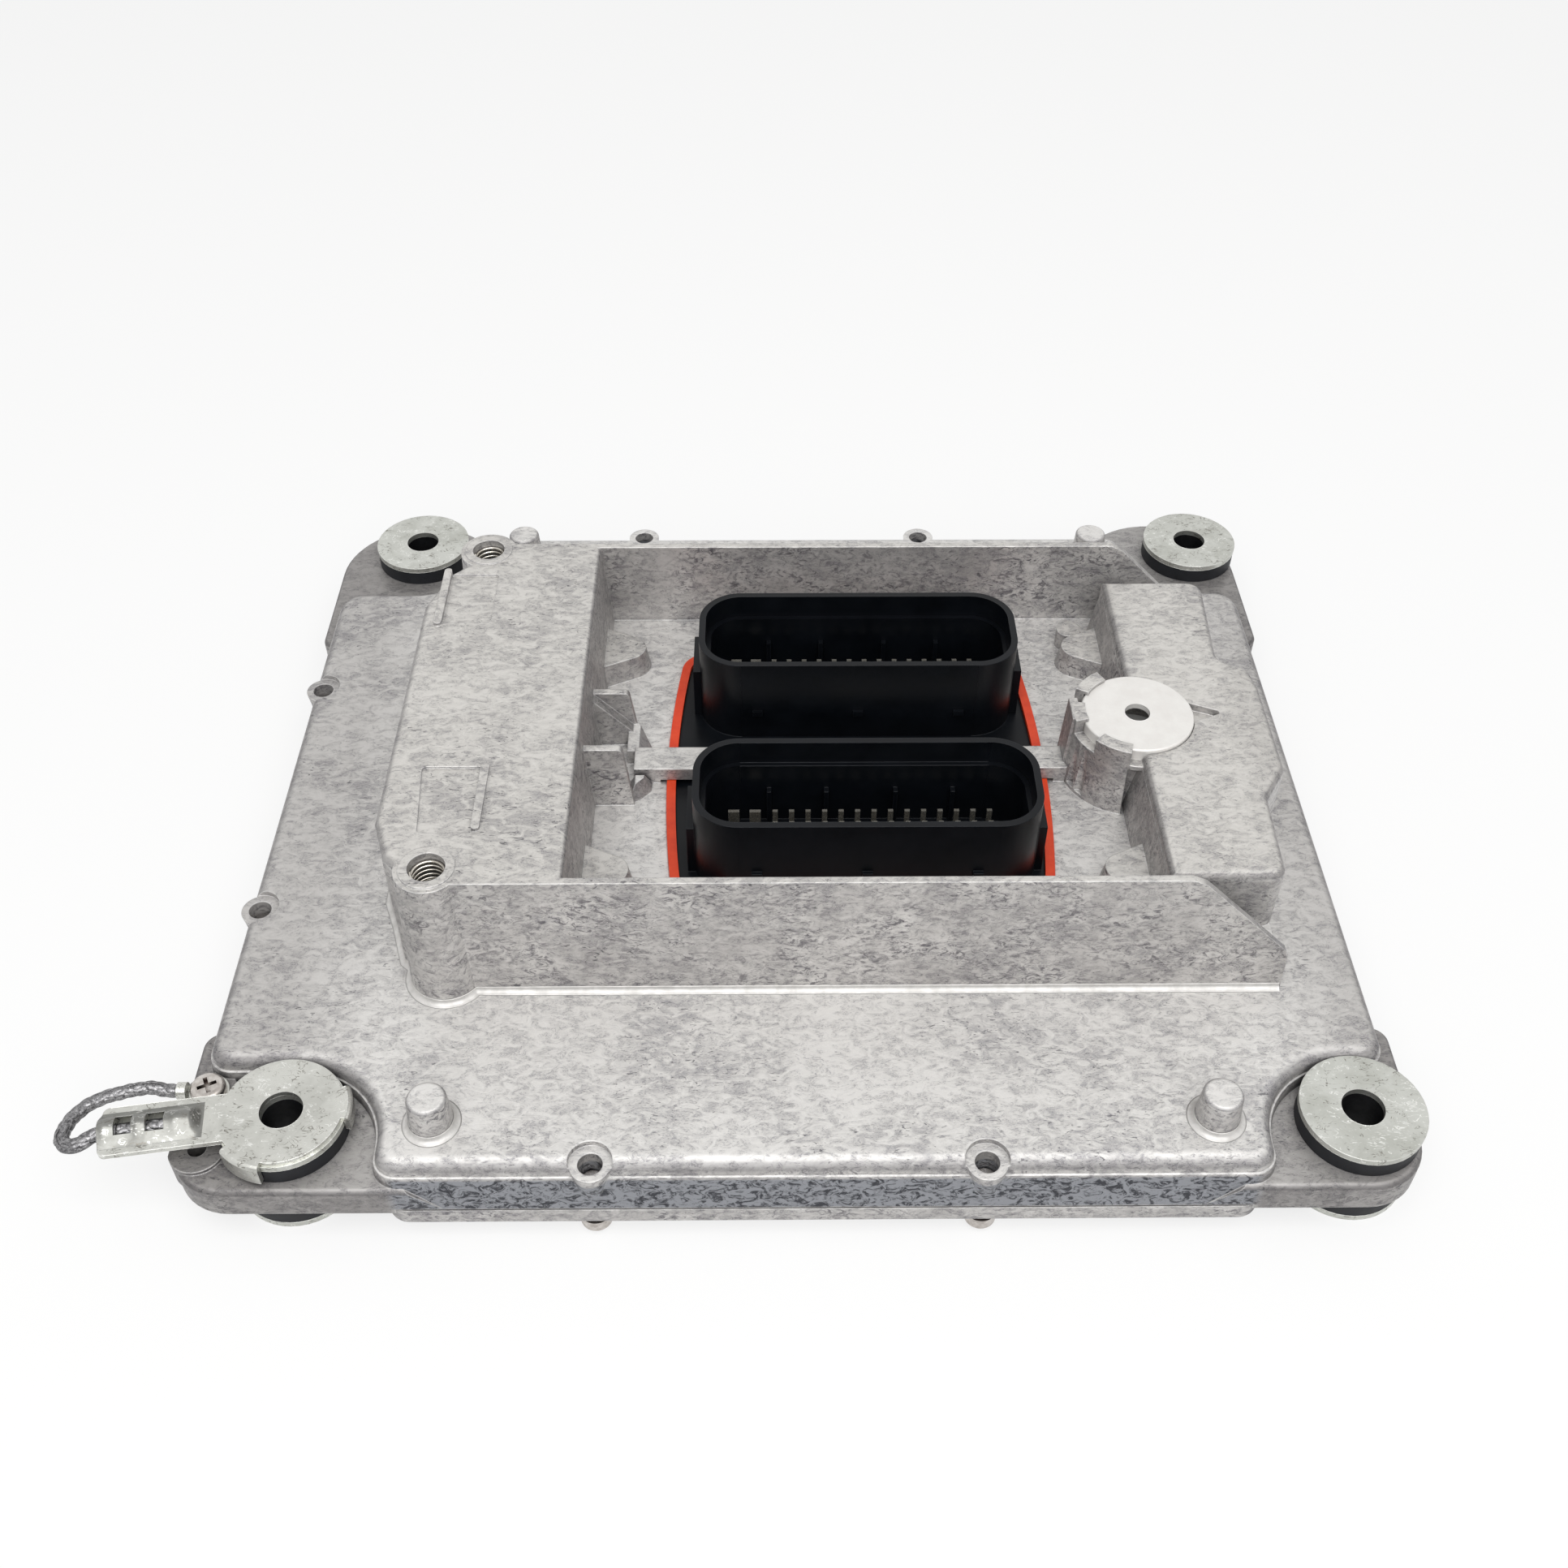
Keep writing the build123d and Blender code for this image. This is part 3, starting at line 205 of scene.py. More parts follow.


# Die-cast aluminium, shot-blasted: pale satin grey with fine curled flow lines and short dark strokes that gather in
# patches, flecked on its walls, with painted shade on its walls, at its sides, under the slab's edge, where its edges
# round over and in its creases, painted highlights on its sharp edges, and darker on its ears and the blocks' tops
def castAluminium():
    # In this table wall, skirt, margin, round and crease are painted shade, and edge is a painted highlight
    look = {
        "pale": "#DAD8D5", "mid": "#CFCDCA", "mark": "#B8B6B5", "line": "#86848A", "speck": "#E6E4E1",
        "stroke": "#5A595E", "wall": "#C6C4C5", "wallFleck": "#5F5C61", "skirt": "#8C8E93", "skirtFleck": "#34353B",
        "low": "#A8A6A6", "high": "#F0EFED", "margin": "#DCDBDB", "round": "#86848A", "edge": "#F0EFED",
        "creaseShade": "#3C3A3E", "flowMm": 2.4, "blotchMm": 26.0, "lineMm": 1.5, "strokeMm": 1.2, "fleckMm": 1.7,
        "patchMm": 14.0, "grainMm": 0.5, "skirtBottom": 10.9, "skirtTop": 19.6, "skirtEnd": 92.0, "lowTop": 19.0,
        "highTop": 40.0, "marginStart": 96.0, "marginEnd": 120.0, "metallic": 0.45, "bumpMm": 0.06,
    }
    material, tree, shader, spot = startMaterial("dieCastAluminium", Metallic=look["metallic"])
    flow = mottle(tree, spot, look["flowMm"], 6.0, 0.68, 1.0, (0.6, 1.0, 1.0))
    blotch = mottle(tree, spot, look["blotchMm"], 5.0, 0.6, 0.5)
    mixed = addNode(tree, mixKind, {0: 0.4, 2: flow, 3: blotch}, data_type="FLOAT")
    colour = twoTone(tree, mixed, 0.4, 0.49, look["mark"], look["mid"])
    paleMask = addNode(tree, rangeKind, [mixed, 0.49, 0.58, 0.0, 1.0])
    # Curled thin lines where two flows met, dark and pale
    thin = veins(tree, mottle(tree, spot, look["lineMm"], 3.0, 0.6, 2.2, (0.6, 1.1, 1.0)), 0.0, 0.045)
    lineMask = overlap(tree, thin, addNode(tree, rangeKind, [flow, 0.44, 0.54, 0.75, 0.0]))
    speckMask = overlap(tree, thin, addNode(tree, rangeKind, [flow, 0.52, 0.6, 0.0, 0.6]))
    # Short dark strokes, mostly along the length of the casting
    stroke = mottle(tree, spot, look["strokeMm"], 5.0, 0.62, 1.8, (0.42, 1.25, 1.0))
    strokeMask = overlap(tree, addNode(tree, rangeKind, [stroke, 0.36, 0.41, 1.0, 0.0]),
                         addNode(tree, rangeKind, [blotch, 0.42, 0.58, 0.8, 0.0]))
    colour = addCoats(tree, colour, (paleMask, look["pale"], "MIX"), (lineMask, look["line"], "MIX"),
                      (speckMask, look["speck"], "MIX"), (strokeMask, look["stroke"], "MIX"))
    # Faces that look up carry painted shade at the left and right, and are darker on the ears low down and on the
    # blocks' tops
    place = addNode(tree, "ShaderNodeSeparateXYZ", [spot]).outputs
    height = place[2]
    across = addNode(tree, mathKind, [place[0]], operation="ABSOLUTE")
    lowMask = addNode(tree, rangeKind, [height, (look["lowTop"] - 1) * mm, look["lowTop"] * mm, 0.7, 0.0])
    margin = addNode(tree, rangeKind, [across, look["marginStart"] * mm, look["marginEnd"] * mm, 0.0, 1.0])
    highMask = addNode(tree, rangeKind, [height, (look["highTop"] - 1) * mm, look["highTop"] * mm, 0.0, 1.0])
    top = addCoats(tree, colour, (lowMask, look["low"], "MULTIPLY"), (margin, look["margin"], "MULTIPLY"),
                   (highMask, look["high"], "MULTIPLY"))
    # Walls carry painted shade, darker in patches, and are flecked
    flat = addNode(tree, "ShaderNodeNewGeometry").outputs["Normal"]
    facing = addNode(tree, "ShaderNodeSeparateXYZ", [flat]).outputs[2]
    level = addNode(tree, mathKind, [facing], operation="ABSOLUTE")
    side = addNode(tree, rangeKind, [level, 0.2, 0.75, 1.0, 0.0])
    fleck = mottle(tree, spot, look["fleckMm"], 8.0, 0.72, 1.6, (0.55, 1.0, 0.9))
    patch = mottle(tree, spot, look["patchMm"], 4.0, 0.6, 0.6)
    wallMask = addNode(tree, rangeKind, [patch, 0.3, 0.7, 0.3, 0.8])
    fleckMask = overlap(tree, addNode(tree, rangeKind, [fleck, 0.4, 0.5, 1.0, 0.0]),
                        addNode(tree, rangeKind, [patch, 0.38, 0.62, 0.95, 0.15]))
    wall = addCoats(tree, colour, (wallMask, look["wall"], "MULTIPLY"), (fleckMask, look["wallFleck"], "MIX"))
    # The band under the slab's edge, between the ears, is painted shade, the darkest and a little blue, with flecks
    bottom, end = look["skirtBottom"], look["skirtEnd"]
    above = addNode(tree, rangeKind, [height, (bottom - 0.2) * mm, (bottom + 0.2) * mm, 0.0, 1.0])
    below = addNode(tree, rangeKind, [height, (look["skirtTop"] - 0.6) * mm, look["skirtTop"] * mm, 1.0, 0.0])
    between = addNode(tree, rangeKind, [across, (end - 2) * mm, end * mm, 1.0, 0.0])
    shadedBand = twoTone(tree, fleck, 0.43, 0.52, look["skirtFleck"], look["skirt"])
    bandMask = overlap(tree, above, below, between)
    wall = addNode(tree, mixKind, {0: bandMask, 6: wall, 7: shadedBand}, data_type="RGBA")
    # Walls low down on the ears are darker too
    earMask = overlap(tree, lowMask, addNode(tree, mathKind, [1.0, between], **minus))
    wall = addCoats(tree, wall, (earMask, look["low"], "MULTIPLY"))
    colour = addNode(tree, mixKind, {0: side, 6: top, 7: wall}, data_type="RGBA")
    # Painted shade where edges round over and in the creases, and painted highlights on sharp edges in patches
    tilt = overlap(tree, addNode(tree, rangeKind, [level, 0.78, 0.97, 1.0, 0.0]),
                   addNode(tree, rangeKind, [level, 0.2, 0.4, 0.0, 1.0]))
    edge, rounded = edgeMask(tree, 0.5, 0.8, 0.985)
    edgeHighlightPatches = overlap(tree, edge, addNode(tree, rangeKind, [flow, 0.3, 0.7, 0.2, 0.7]))
    colour = addCoats(tree, colour, (overlap(tree, tilt, 0.5), look["round"], "MULTIPLY"),
                      (overlap(tree, cornerShadeMask(tree, 2.0, 0.26, 0.62), 0.7), look["creaseShade"], "MIX"),
                      (edgeHighlightPatches, look["edge"], "MIX"))
    sheen = addNode(tree, rangeKind, [mixed, 0.3, 0.7, 0.5, 0.38])
    roughness = addNode(tree, mathKind, [sheen, overlap(tree, tilt, 0.12)], **plus)
    grain = mottle(tree, spot, look["grainMm"], 3.0, 0.6)
    raised = addNode(tree, mathKind, [overlap(tree, grain, 0.5), flow], **plus)
    marks = addNode(tree, mathKind, [strokeMask, lineMask], **larger)
    relief = addNode(tree, mathKind, [raised, overlap(tree, marks, 0.6)], **minus)
    joinFinish(tree, shader, colour, roughness, relief, look["bumpMm"], 0.6, rounded)
    return material


# Zinc-plated and tinned steel sheet: even pale grey with a faint green cast, sparse curled hairline scratches, dark
# ones and pale ones with painted glints, and a painted highlight along the stamped rim
def platedSheet(name, base, mark, metallic, rough):
    # The edge and glint colours are painted highlights
    look = {
        "scratch": "#6E6A62", "glint": "#F4F4F0", "edge": "#EFF0EC",
        "cloudMm": 9.0, "scratchMm": 2.6, "gatherMm": 3.5, "grainMm": 0.6, "edgeMm": 0.25, "bumpMm": 0.01,
    }
    material, tree, shader, spot = startMaterial(name, Metallic=metallic)
    cloud = mottle(tree, spot, look["cloudMm"], 5.0, 0.6, 0.5)
    field = mottle(tree, spot, look["scratchMm"], 2.0, 0.6, 1.4, (0.7, 1.5, 1.0), 0.6)
    gather = mottle(tree, spot, look["gatherMm"], 3.0, 0.6)
    thin = veins(tree, field, 0.005, 0.028)
    darkLine = overlap(tree, thin, addNode(tree, rangeKind, [gather, 0.51, 0.58, 0.0, 0.9]))
    # Painted glints on the pale scratches
    glintLine = overlap(tree, thin, addNode(tree, rangeKind, [gather, 0.4, 0.47, 0.8, 0.0]))
    # Painted highlight along the rim's sharp edges
    edge, rounded = edgeMask(tree, look["edgeMm"], 0.8, 0.98)
    colour = addCoats(tree, twoTone(tree, cloud, 0.36, 0.62, mark, base), (darkLine, look["scratch"], "MIX"),
                      (glintLine, look["glint"], "MIX"), (overlap(tree, edge, 0.6), look["edge"], "MIX"))
    roughness = addNode(tree, rangeKind, [cloud, 0.3, 0.7, rough + 0.05, rough - 0.05])
    relief = addNode(tree, mathKind, [mottle(tree, spot, look["grainMm"], 2.0), thin], **minus)
    joinFinish(tree, shader, colour, roughness, relief, look["bumpMm"], 0.5, rounded)
    return material


# Moulded glass-filled nylon: almost black, a little blue, with a fine satin skin and thin painted highlights on corners
def headerPlastic():
    look = {"low": "#05070B", "high": "#0A0D12", "cornerHighlight": "#2A2E34", "toneMm": 8.0, "cornerHighlightPatchMm": 3.0, "grainMm": 0.35}
    material, tree, shader, spot = startMaterial("glassFilledNylon", Metallic=0.0, IOR=1.53, Specular_IOR_Level=0.2)
    tone = mottle(tree, spot, look["toneMm"], 3.0)
    # Painted highlights on the sharp corners, broken into patches
    edge, rounded = edgeMask(tree, 0.25, 0.8, 0.98)
    cornerHighlightPatches = addNode(tree, rangeKind, [mottle(tree, spot, look["cornerHighlightPatchMm"], 3.0), 0.3, 0.7, 0.2, 0.9])
    colour = addCoats(tree, twoTone(tree, tone, 0.3, 0.7, look["low"], look["high"]),
                      (overlap(tree, edge, cornerHighlightPatches), look["cornerHighlight"], "MIX"))
    roughness = addNode(tree, rangeKind, [tone, 0.3, 0.7, 0.3, 0.42])
    joinFinish(tree, shader, colour, roughness, mottle(tree, spot, look["grainMm"], 2.0), 0.008, 0.4, rounded)
    return material


# Moulded chloroprene rubber: black and dull, with faint wiped patches
def mountRubber():
    material, tree, shader, spot = startMaterial("blackRubber", Metallic=0.0, IOR=1.5, Specular_IOR_Level=0.35)
    tone = mottle(tree, spot, 3.0, 4.0)
    colour = twoTone(tree, tone, 0.3, 0.7, "#101115", "#1C1E23")
    roughness = addNode(tree, rangeKind, [tone, 0.3, 0.7, 0.5, 0.65])
    joinFinish(tree, shader, colour, roughness, mottle(tree, spot, 0.4, 3.0), 0.02, 0.5)
    return material


# Liquid silicone seal: saturated orange-red with a soft sheen
def sealSilicone():
    material, tree, shader, spot = startMaterial("siliconeSeal", Metallic=0.0, IOR=1.43, Roughness=0.38)
    joinFinish(tree, shader, twoTone(tree, mottle(tree, spot, 4.0, 3.0), 0.3, 0.7, "#D23A18", "#E24922"), None)
    return material


# Screw steel: bright head, with painted shade, brown-black, in its cross recess
def screwSteel():
    material, tree, shader, spot = startMaterial("screwSteel", Metallic=0.9)
    tone = mottle(tree, spot, 1.6, 4.0)
    # Painted shade, brown-black, deep in the cross recess
    colour = addCoats(tree, twoTone(tree, tone, 0.35, 0.65, "#A8A19B", "#CFCAC5"),
                      (cornerShadeMask(tree, 1.2, 0.3, 0.75), "#2A1712", "MIX"))
    joinFinish(tree, shader, colour, addNode(tree, rangeKind, [tone, 0.3, 0.7, 0.34, 0.24]))
    return material


# Tinned copper wires of the braid: painted shade, dark dull grey, in the hollows, with bright streaks along wire tops
def tinnedWire():
    material, tree, shader, spot = startMaterial("tinnedCopperWire", Metallic=0.85)
    tone = mottle(tree, spot, 0.7, 5.0, 0.7, 1.0)
    # Painted shade in the hollows between the wires
    hollow = overlap(tree, cornerShadeMask(tree, 0.7, 0.2, 0.85), 0.9)
    colour = addCoats(tree, twoTone(tree, tone, 0.34, 0.62, "#3E3D40", "#A3A2A3"), (hollow, "#1E1D1F", "MIX"))
    joinFinish(tree, shader, colour, addNode(tree, rangeKind, [tone, 0.3, 0.7, 0.45, 0.3]))
    return material


# A finish of two close tones with a fine grain, and a painted highlight along its edges where it has one
def plainFinish(name, low, high, metallic, rough, sizeMm, depthMm=0.01, edgeCode=None):
    material, tree, shader, spot = startMaterial(name, Metallic=metallic)
    tone = mottle(tree, spot, sizeMm, 4.0)
    colour = twoTone(tree, tone, 0.35, 0.65, low, high)
    rounded = None
    # Painted highlight along the sharp edges
    if edgeCode:
        edge, rounded = edgeMask(tree, 0.25, 0.8, 0.98)
        colour = addCoats(tree, colour, (overlap(tree, edge, 0.7), edgeCode, "MIX"))
    roughness = addNode(tree, rangeKind, [tone, 0.3, 0.7, rough + 0.06, rough - 0.04])
    joinFinish(tree, shader, colour, roughness, mottle(tree, spot, sizeMm / 6, 2.0), depthMm, 0.4, rounded)
    return material


finishes = {
    "cast_aluminium": castAluminium(),
    "zinc_steel": platedSheet("zincPlatedSteel", "#CACBC5", "#B7B8B1", 0.8, 0.34),
    "header_plastic": headerPlastic(),
    "mount_rubber": mountRubber(),
    "seal_silicone": sealSilicone(),
    "screw_steel": screwSteel(),
    "tinned_braid": tinnedWire(),
    "gasket_rubber": plainFinish("gasketRubber", "#17181A", "#232427", 0.0, 0.6, 3.0),
    "contact_metal": plainFinish("tinnedContact", "#B9B4A8", "#DAD6CC", 0.9, 0.25, 1.0),
    # The vent cap's last colour is a painted highlight along its edges
    "cap_plastic": plainFinish("ventCapSatin", "#DFDCD8", "#E6E4E0", 0.25, 0.36, 4.0, 0.006, "#F4F3F1"),
    "membrane": plainFinish("porousMembrane", "#E8E8E6", "#F2F2F0", 0.0, 0.8, 1.0),
    "insert_steel": plainFinish("insertSteel", "#B8B2A8", "#E2DED6", 0.9, 0.22, 2.0),
    "tinned_metal": platedSheet("tinnedSheet", "#CFCFC9", "#BDBDB7", 0.85, 0.3),
    "board_laminate": plainFinish("boardLaminate", "#14502B", "#1B5E34", 0.0, 0.4, 2.0),
    "chip_plastic": plainFinish("chipPlastic", "#1C1C1E", "#262628", 0.0, 0.55, 1.0),
    "pad_silicone": plainFinish("padSilicone", "#8C9098", "#9A9EA6", 0.0, 0.6, 1.5),
    "can_aluminium": plainFinish("canAluminium", "#C8C8C8", "#DCDCDC", 0.95, 0.3, 3.0),
    "ferrite": plainFinish("ferriteCore", "#2C2C2E", "#3A3A3C", 0.0, 0.6, 1.0),
    "can_steel": plainFinish("canSteel", "#C4C4C2", "#DADAD8", 0.95, 0.28, 2.0),
    # Three that the record has no slot for: the barrel's skin, the tinned sheet darkened as painted shade, the fillets,
    # and the steel tubes, painted almost black and dull as the shade in the mounts' bores
    "crimped_sheet": platedSheet("crimpedTinnedSheetShaded", "#8F8F8B", "#757571", 0.9, 0.34),
    "cast_foot": plainFinish("castAluminiumFillet", "#BDBBB8", "#D0CECB", 0.45, 0.45, 2.4, 0.02),
    "dark_sleeve": plainFinish("sleeveSteelShadedDark", "#141416", "#222225", 0.6, 0.5, 2.0),
}
slotOf = {part["node"]: part["material_slot"] for part in frame["record"]["subparts"]}
for name, node in frame["nodes"].items():
    for place in node.material_slots:
        place.material = finishes["dark_sleeve" if name == "spacer_sleeves" else slotOf[name]]
print("finishes on", len(slotOf), "nodes")


def linkObject(name, data):
    piece = bpy.data.objects.new(name, data)
    bpy.context.scene.collection.objects.link(piece)
    return piece


def linkMesh(name, points, faces, slotName, smooth=True):
    mesh = bpy.data.meshes.new(name)
    mesh.from_pydata(points, [], faces)
    mesh.materials.append(finishes[slotName])
    if smooth:
        mesh.polygons.foreach_set("use_smooth", [True] * len(mesh.polygons))
    mesh.update()
    return linkObject(name, mesh)


# The mesh that an object shows, with its modifiers worked in
def bakedMesh(piece):
    return bpy.data.meshes.new_from_object(piece.evaluated_get(bpy.context.evaluated_depsgraph_get()))


def applyModifiers(piece):
    piece.data = bakedMesh(piece)
    piece.modifiers.clear()


def fixNormals(piece):
    bpy.context.view_layer.objects.active = piece
    piece.select_set(True)
    bpy.ops.object.mode_set(mode="EDIT")
    bpy.ops.mesh.select_all(action="SELECT")
    bpy.ops.mesh.normals_make_consistent(inside=False)
    bpy.ops.object.mode_set(mode="OBJECT")
    piece.select_set(False)


# Places in plan along an arc, from one angle to another in degrees
def arc(centre, radius, start, end, count):
    angles = [math.radians(start + (end - start) * i / count) for i in range(count + 1)]
    return [(centre[0] + radius * math.cos(a), centre[1] + radius * math.sin(a)) for a in angles]


# A geometry tree with one shape, its lengths and one count going in, and one shape coming out
def startTree(name, shape, lengths, count, result):
    tree = bpy.data.node_groups.new(name, "GeometryNodeTree")
    inputs = [(shape, "Geometry")] + [(length, "Float") for length in lengths] + [(count, "Int")]
    for label, kind in inputs:
        tree.interface.new_socket(label, in_out="INPUT", socket_type="NodeSocket" + kind)
    tree.interface.new_socket(result, in_out="OUTPUT", socket_type="NodeSocketGeometry")
    return tree, addNode(tree, "NodeGroupInput").outputs


def endTree(tree, shape, finish, result):
    real = addNode(tree, "GeometryNodeRealizeInstances", {"Geometry": shape})
    done = addNode(tree, "GeometryNodeSetMaterial", {"Geometry": real, "Material": finishes[finish]})
    addNode(tree, "NodeGroupOutput", {result: done})


# Runs a tree on an object and gives the plain mesh that comes out
def runTree(piece, tree, values):
    modifier = piece.modifiers.new(tree.name, "NODES")
    modifier.node_group = tree
    for socket in tree.interface.items_tree:
        if socket.in_out == "INPUT" and socket.name in values:
            modifier[socket.identifier] = values[socket.name]
    mesh = bakedMesh(piece)
    piece.modifiers.clear()
    return mesh


# The points of the route's own smooth line, read back from its spline
def readSpline(route):
    curve = bpy.data.curves.new("groundBraidLine", "CURVE")
    curve.dimensions = "3D"
    spline = curve.splines.new("NURBS")
    spline.points.add(len(route) - 1)
    for point, place in zip(spline.points, route):
        point.co = [c * mm for c in place] + [1.0]
    spline.order_u = 3
    spline.use_endpoint_u = True
    spline.resolution_u = 16
    line = linkObject("groundBraidLine", curve)
    points = [vertex.co.copy() for vertex in bakedMesh(line).vertices]
    bpy.data.objects.remove(line)
    return points


# Places at even steps along a line, each with a sideways and an upward direction that turn with it
def walk(points, step):
    lengths = [0.0]
    for a, b in zip(points, points[1:]):
        lengths.append(lengths[-1] + (b - a).length)
    count = max(2, round(lengths[-1] / step))
    stations = []
    up = Vector((0, 0, 1))
    k = 0
    for i in range(count + 1):
        s = lengths[-1] * i / count
        while k < len(points) - 2 and lengths[k + 1] < s:
            k += 1
        share = (s - lengths[k]) / max(lengths[k + 1] - lengths[k], 1e-9)
        ahead = (points[min(k + 2, len(points) - 1)] - points[max(k - 1, 0)]).normalized()
        up = (up - ahead * up.dot(ahead)).normalized()
        stations.append((s, points[k].lerp(points[k + 1], share), ahead.cross(up), up))
    return stations


# Faces round a row of rings whose points start at a given number, with both ends closed
def tubeFaces(first, rings, row):
    faces = []
    for i in range(rings - 1):
        for j in range(row):
            a, b = first + i * row + j, first + i * row + (j + 1) % row
            faces.append((a, b, b + row, a + row))
    last = first + (rings - 1) * row
    return faces + [tuple(reversed(range(first, first + row))), tuple(range(last, last + row))]


# Strands laid both ways round a flattened core, each passing over and under those it crosses
def weaveStrands(stations, look, half):
    wide, high = (size * mm for size in half)
    verts, faces = [], []
    each, lay = look["strandsEachWay"], look["layLength"] * mm
    across = 2 * look["wiresAcross"] + 1
    for way in (1, -1):
        for k in range(each):
            first = len(verts)
            for s, centre, side, up in stations:
                turn = 2 * math.pi * (k / each + way * s / lay)
                lift = way * math.cos(2 * math.pi * each * s / lay) * look["strandLift"] * mm
                for j in range(across + 1):
                    inner = j == across  # the last point closes the strand underneath
                    share = 0.0 if inner else j / (across - 1) - 0.5
                    angle = turn + share * look["strandWidth"] / (0.5 * (wide + high) / mm)
                    crown = look["strandThickness"] * mm * (-0.5 if inner else 0.5 * math.cos(math.pi * share))
                    ripple = look["wireRipple"] * mm if j % 2 else 0.0
                    place = centre + side * math.cos(angle) * (wide + lift + crown + ripple)
                    verts.append(place + up * math.sin(angle) * (high + lift + crown + ripple))
            faces += tubeFaces(first, len(stations), across + 1)
    return verts, faces


# Single wires that have sprung out of the weave
def strayWires(stations, look):
    luck = random.Random(look["seed"])
    verts, faces = [], []
    sides = look["straySides"]
    before, after = look["strayKeepOff"]
    for _ in range(look["strayWires"]):
        span = luck.randint(*look["straySteps"])
        start = luck.randint(before, len(stations) - span - after)
        angle0 = luck.uniform(0, 2 * math.pi)
        swing = luck.uniform(-look["straySwing"], look["straySwing"])
        first = len(verts)
        for i in range(span + 1):
            _, centre, side, up = stations[start + i]
            share = i / span
            angle = angle0 + swing * share
            rise = math.sin(math.pi * share) * look["strayRise"] * mm
            out = look["strayReach"] * mm + rise - look["straySink"] * mm
            middle = centre + side * math.cos(angle) * out + up * math.sin(angle) * out
            for j in range(sides):
                turn = 2 * math.pi * j / sides
                beside = side * math.cos(turn) * look["strayRadius"] * mm
                verts.append(middle + beside + up * math.sin(turn) * look["strayRadius"] * mm)
        faces += tubeFaces(first, span + 1, sides)
    return verts, faces


# The strap: one woven length from the crimp barrel to the ring, and the crimped end that shows in the barrel's windows
def makeBraid(look):
    points = readSpline(look["route"])
    stations = walk(points, look["step"] * mm)
    verts, faces = weaveStrands(stations, look, look["wovenHalf"])
    more, moreFaces = strayWires(stations, look)
    faces += [tuple(i + len(verts) for i in face) for face in moreFaces]
    braid = linkMesh("groundBraidWeave", verts + more, faces, "tinned_braid")
    fixNormals(braid)
    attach(braid, "root")
    start, end = (Vector(p) * mm for p in look["crimped"])
    inBarrel = walk([start.lerp(end, i / 8) for i in range(9)], look["step"] * mm)
    crimped = linkMesh("groundBraidCrimped", *weaveStrands(inBarrel, look, look["crimpedHalf"]), "tinned_braid")
    fixNormals(crimped)
    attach(crimped, "root")
    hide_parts("ground_braid")
    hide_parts("ground_braid")


makeBraid(braidLook)
print("braid woven")


# Wire thread inserts: a diamond wire wound along each bore at the thread's own pitch of 1.25 mm
def makeThreads():
    look = {
        "bores": [(-84.5, -65.2), (-84.5, 47.8)], "bottom": 42.6, "height": 15.6, "pitch": 1.25,
        "coilRadius": 3.68, "wireRadius": 0.42, "stepsPerTurn": 40,
    }
    mesh = bpy.data.meshes.new("insertWires")
    mesh.from_pydata([(x * mm, y * mm, look["bottom"] * mm) for x, y in look["bores"]], [], [])
    piece = linkObject("insertWires", mesh)
    lengths = ("Coil Radius", "Wire Radius", "Height", "Pitch")
    tree, given = startTree("wireCoil", "Bores", lengths, "Steps Per Turn", "Wires")
    turns = addNode(tree, mathKind, [given["Height"], given["Pitch"]], operation="DIVIDE")
    spiral = addNode(tree, "GeometryNodeCurveSpiral", {
        "Resolution": given["Steps Per Turn"], "Rotations": turns, "Height": given["Height"],
        "Start Radius": given["Coil Radius"], "End Radius": given["Coil Radius"],
    })
    section = addNode(tree, "GeometryNodeCurvePrimitiveCircle", {"Resolution": 4, "Radius": given["Wire Radius"]})
    wire = addNode(tree, "GeometryNodeCurveToMesh", {"Curve": spiral, "Profile Curve": section, "Fill Caps": True})
    placed = addNode(tree, "GeometryNodeInstanceOnPoints", {"Points": given["Bores"], "Instance": wire})
    endTree(tree, placed, "insert_steel", "Wires")
    piece.data = runTree(piece, tree, {
        "Coil Radius": look["coilRadius"] * mm, "Wire Radius": look["wireRadius"] * mm, "Height": look["height"] * mm,
        "Pitch": look["pitch"] * mm, "Steps Per Turn": look["stepsPerTurn"],
    })
    fixNormals(piece)
    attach(piece, "root")
    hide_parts("threaded_inserts")
    print("thread wires:", len(piece.data.polygons), "faces")


makeThreads()


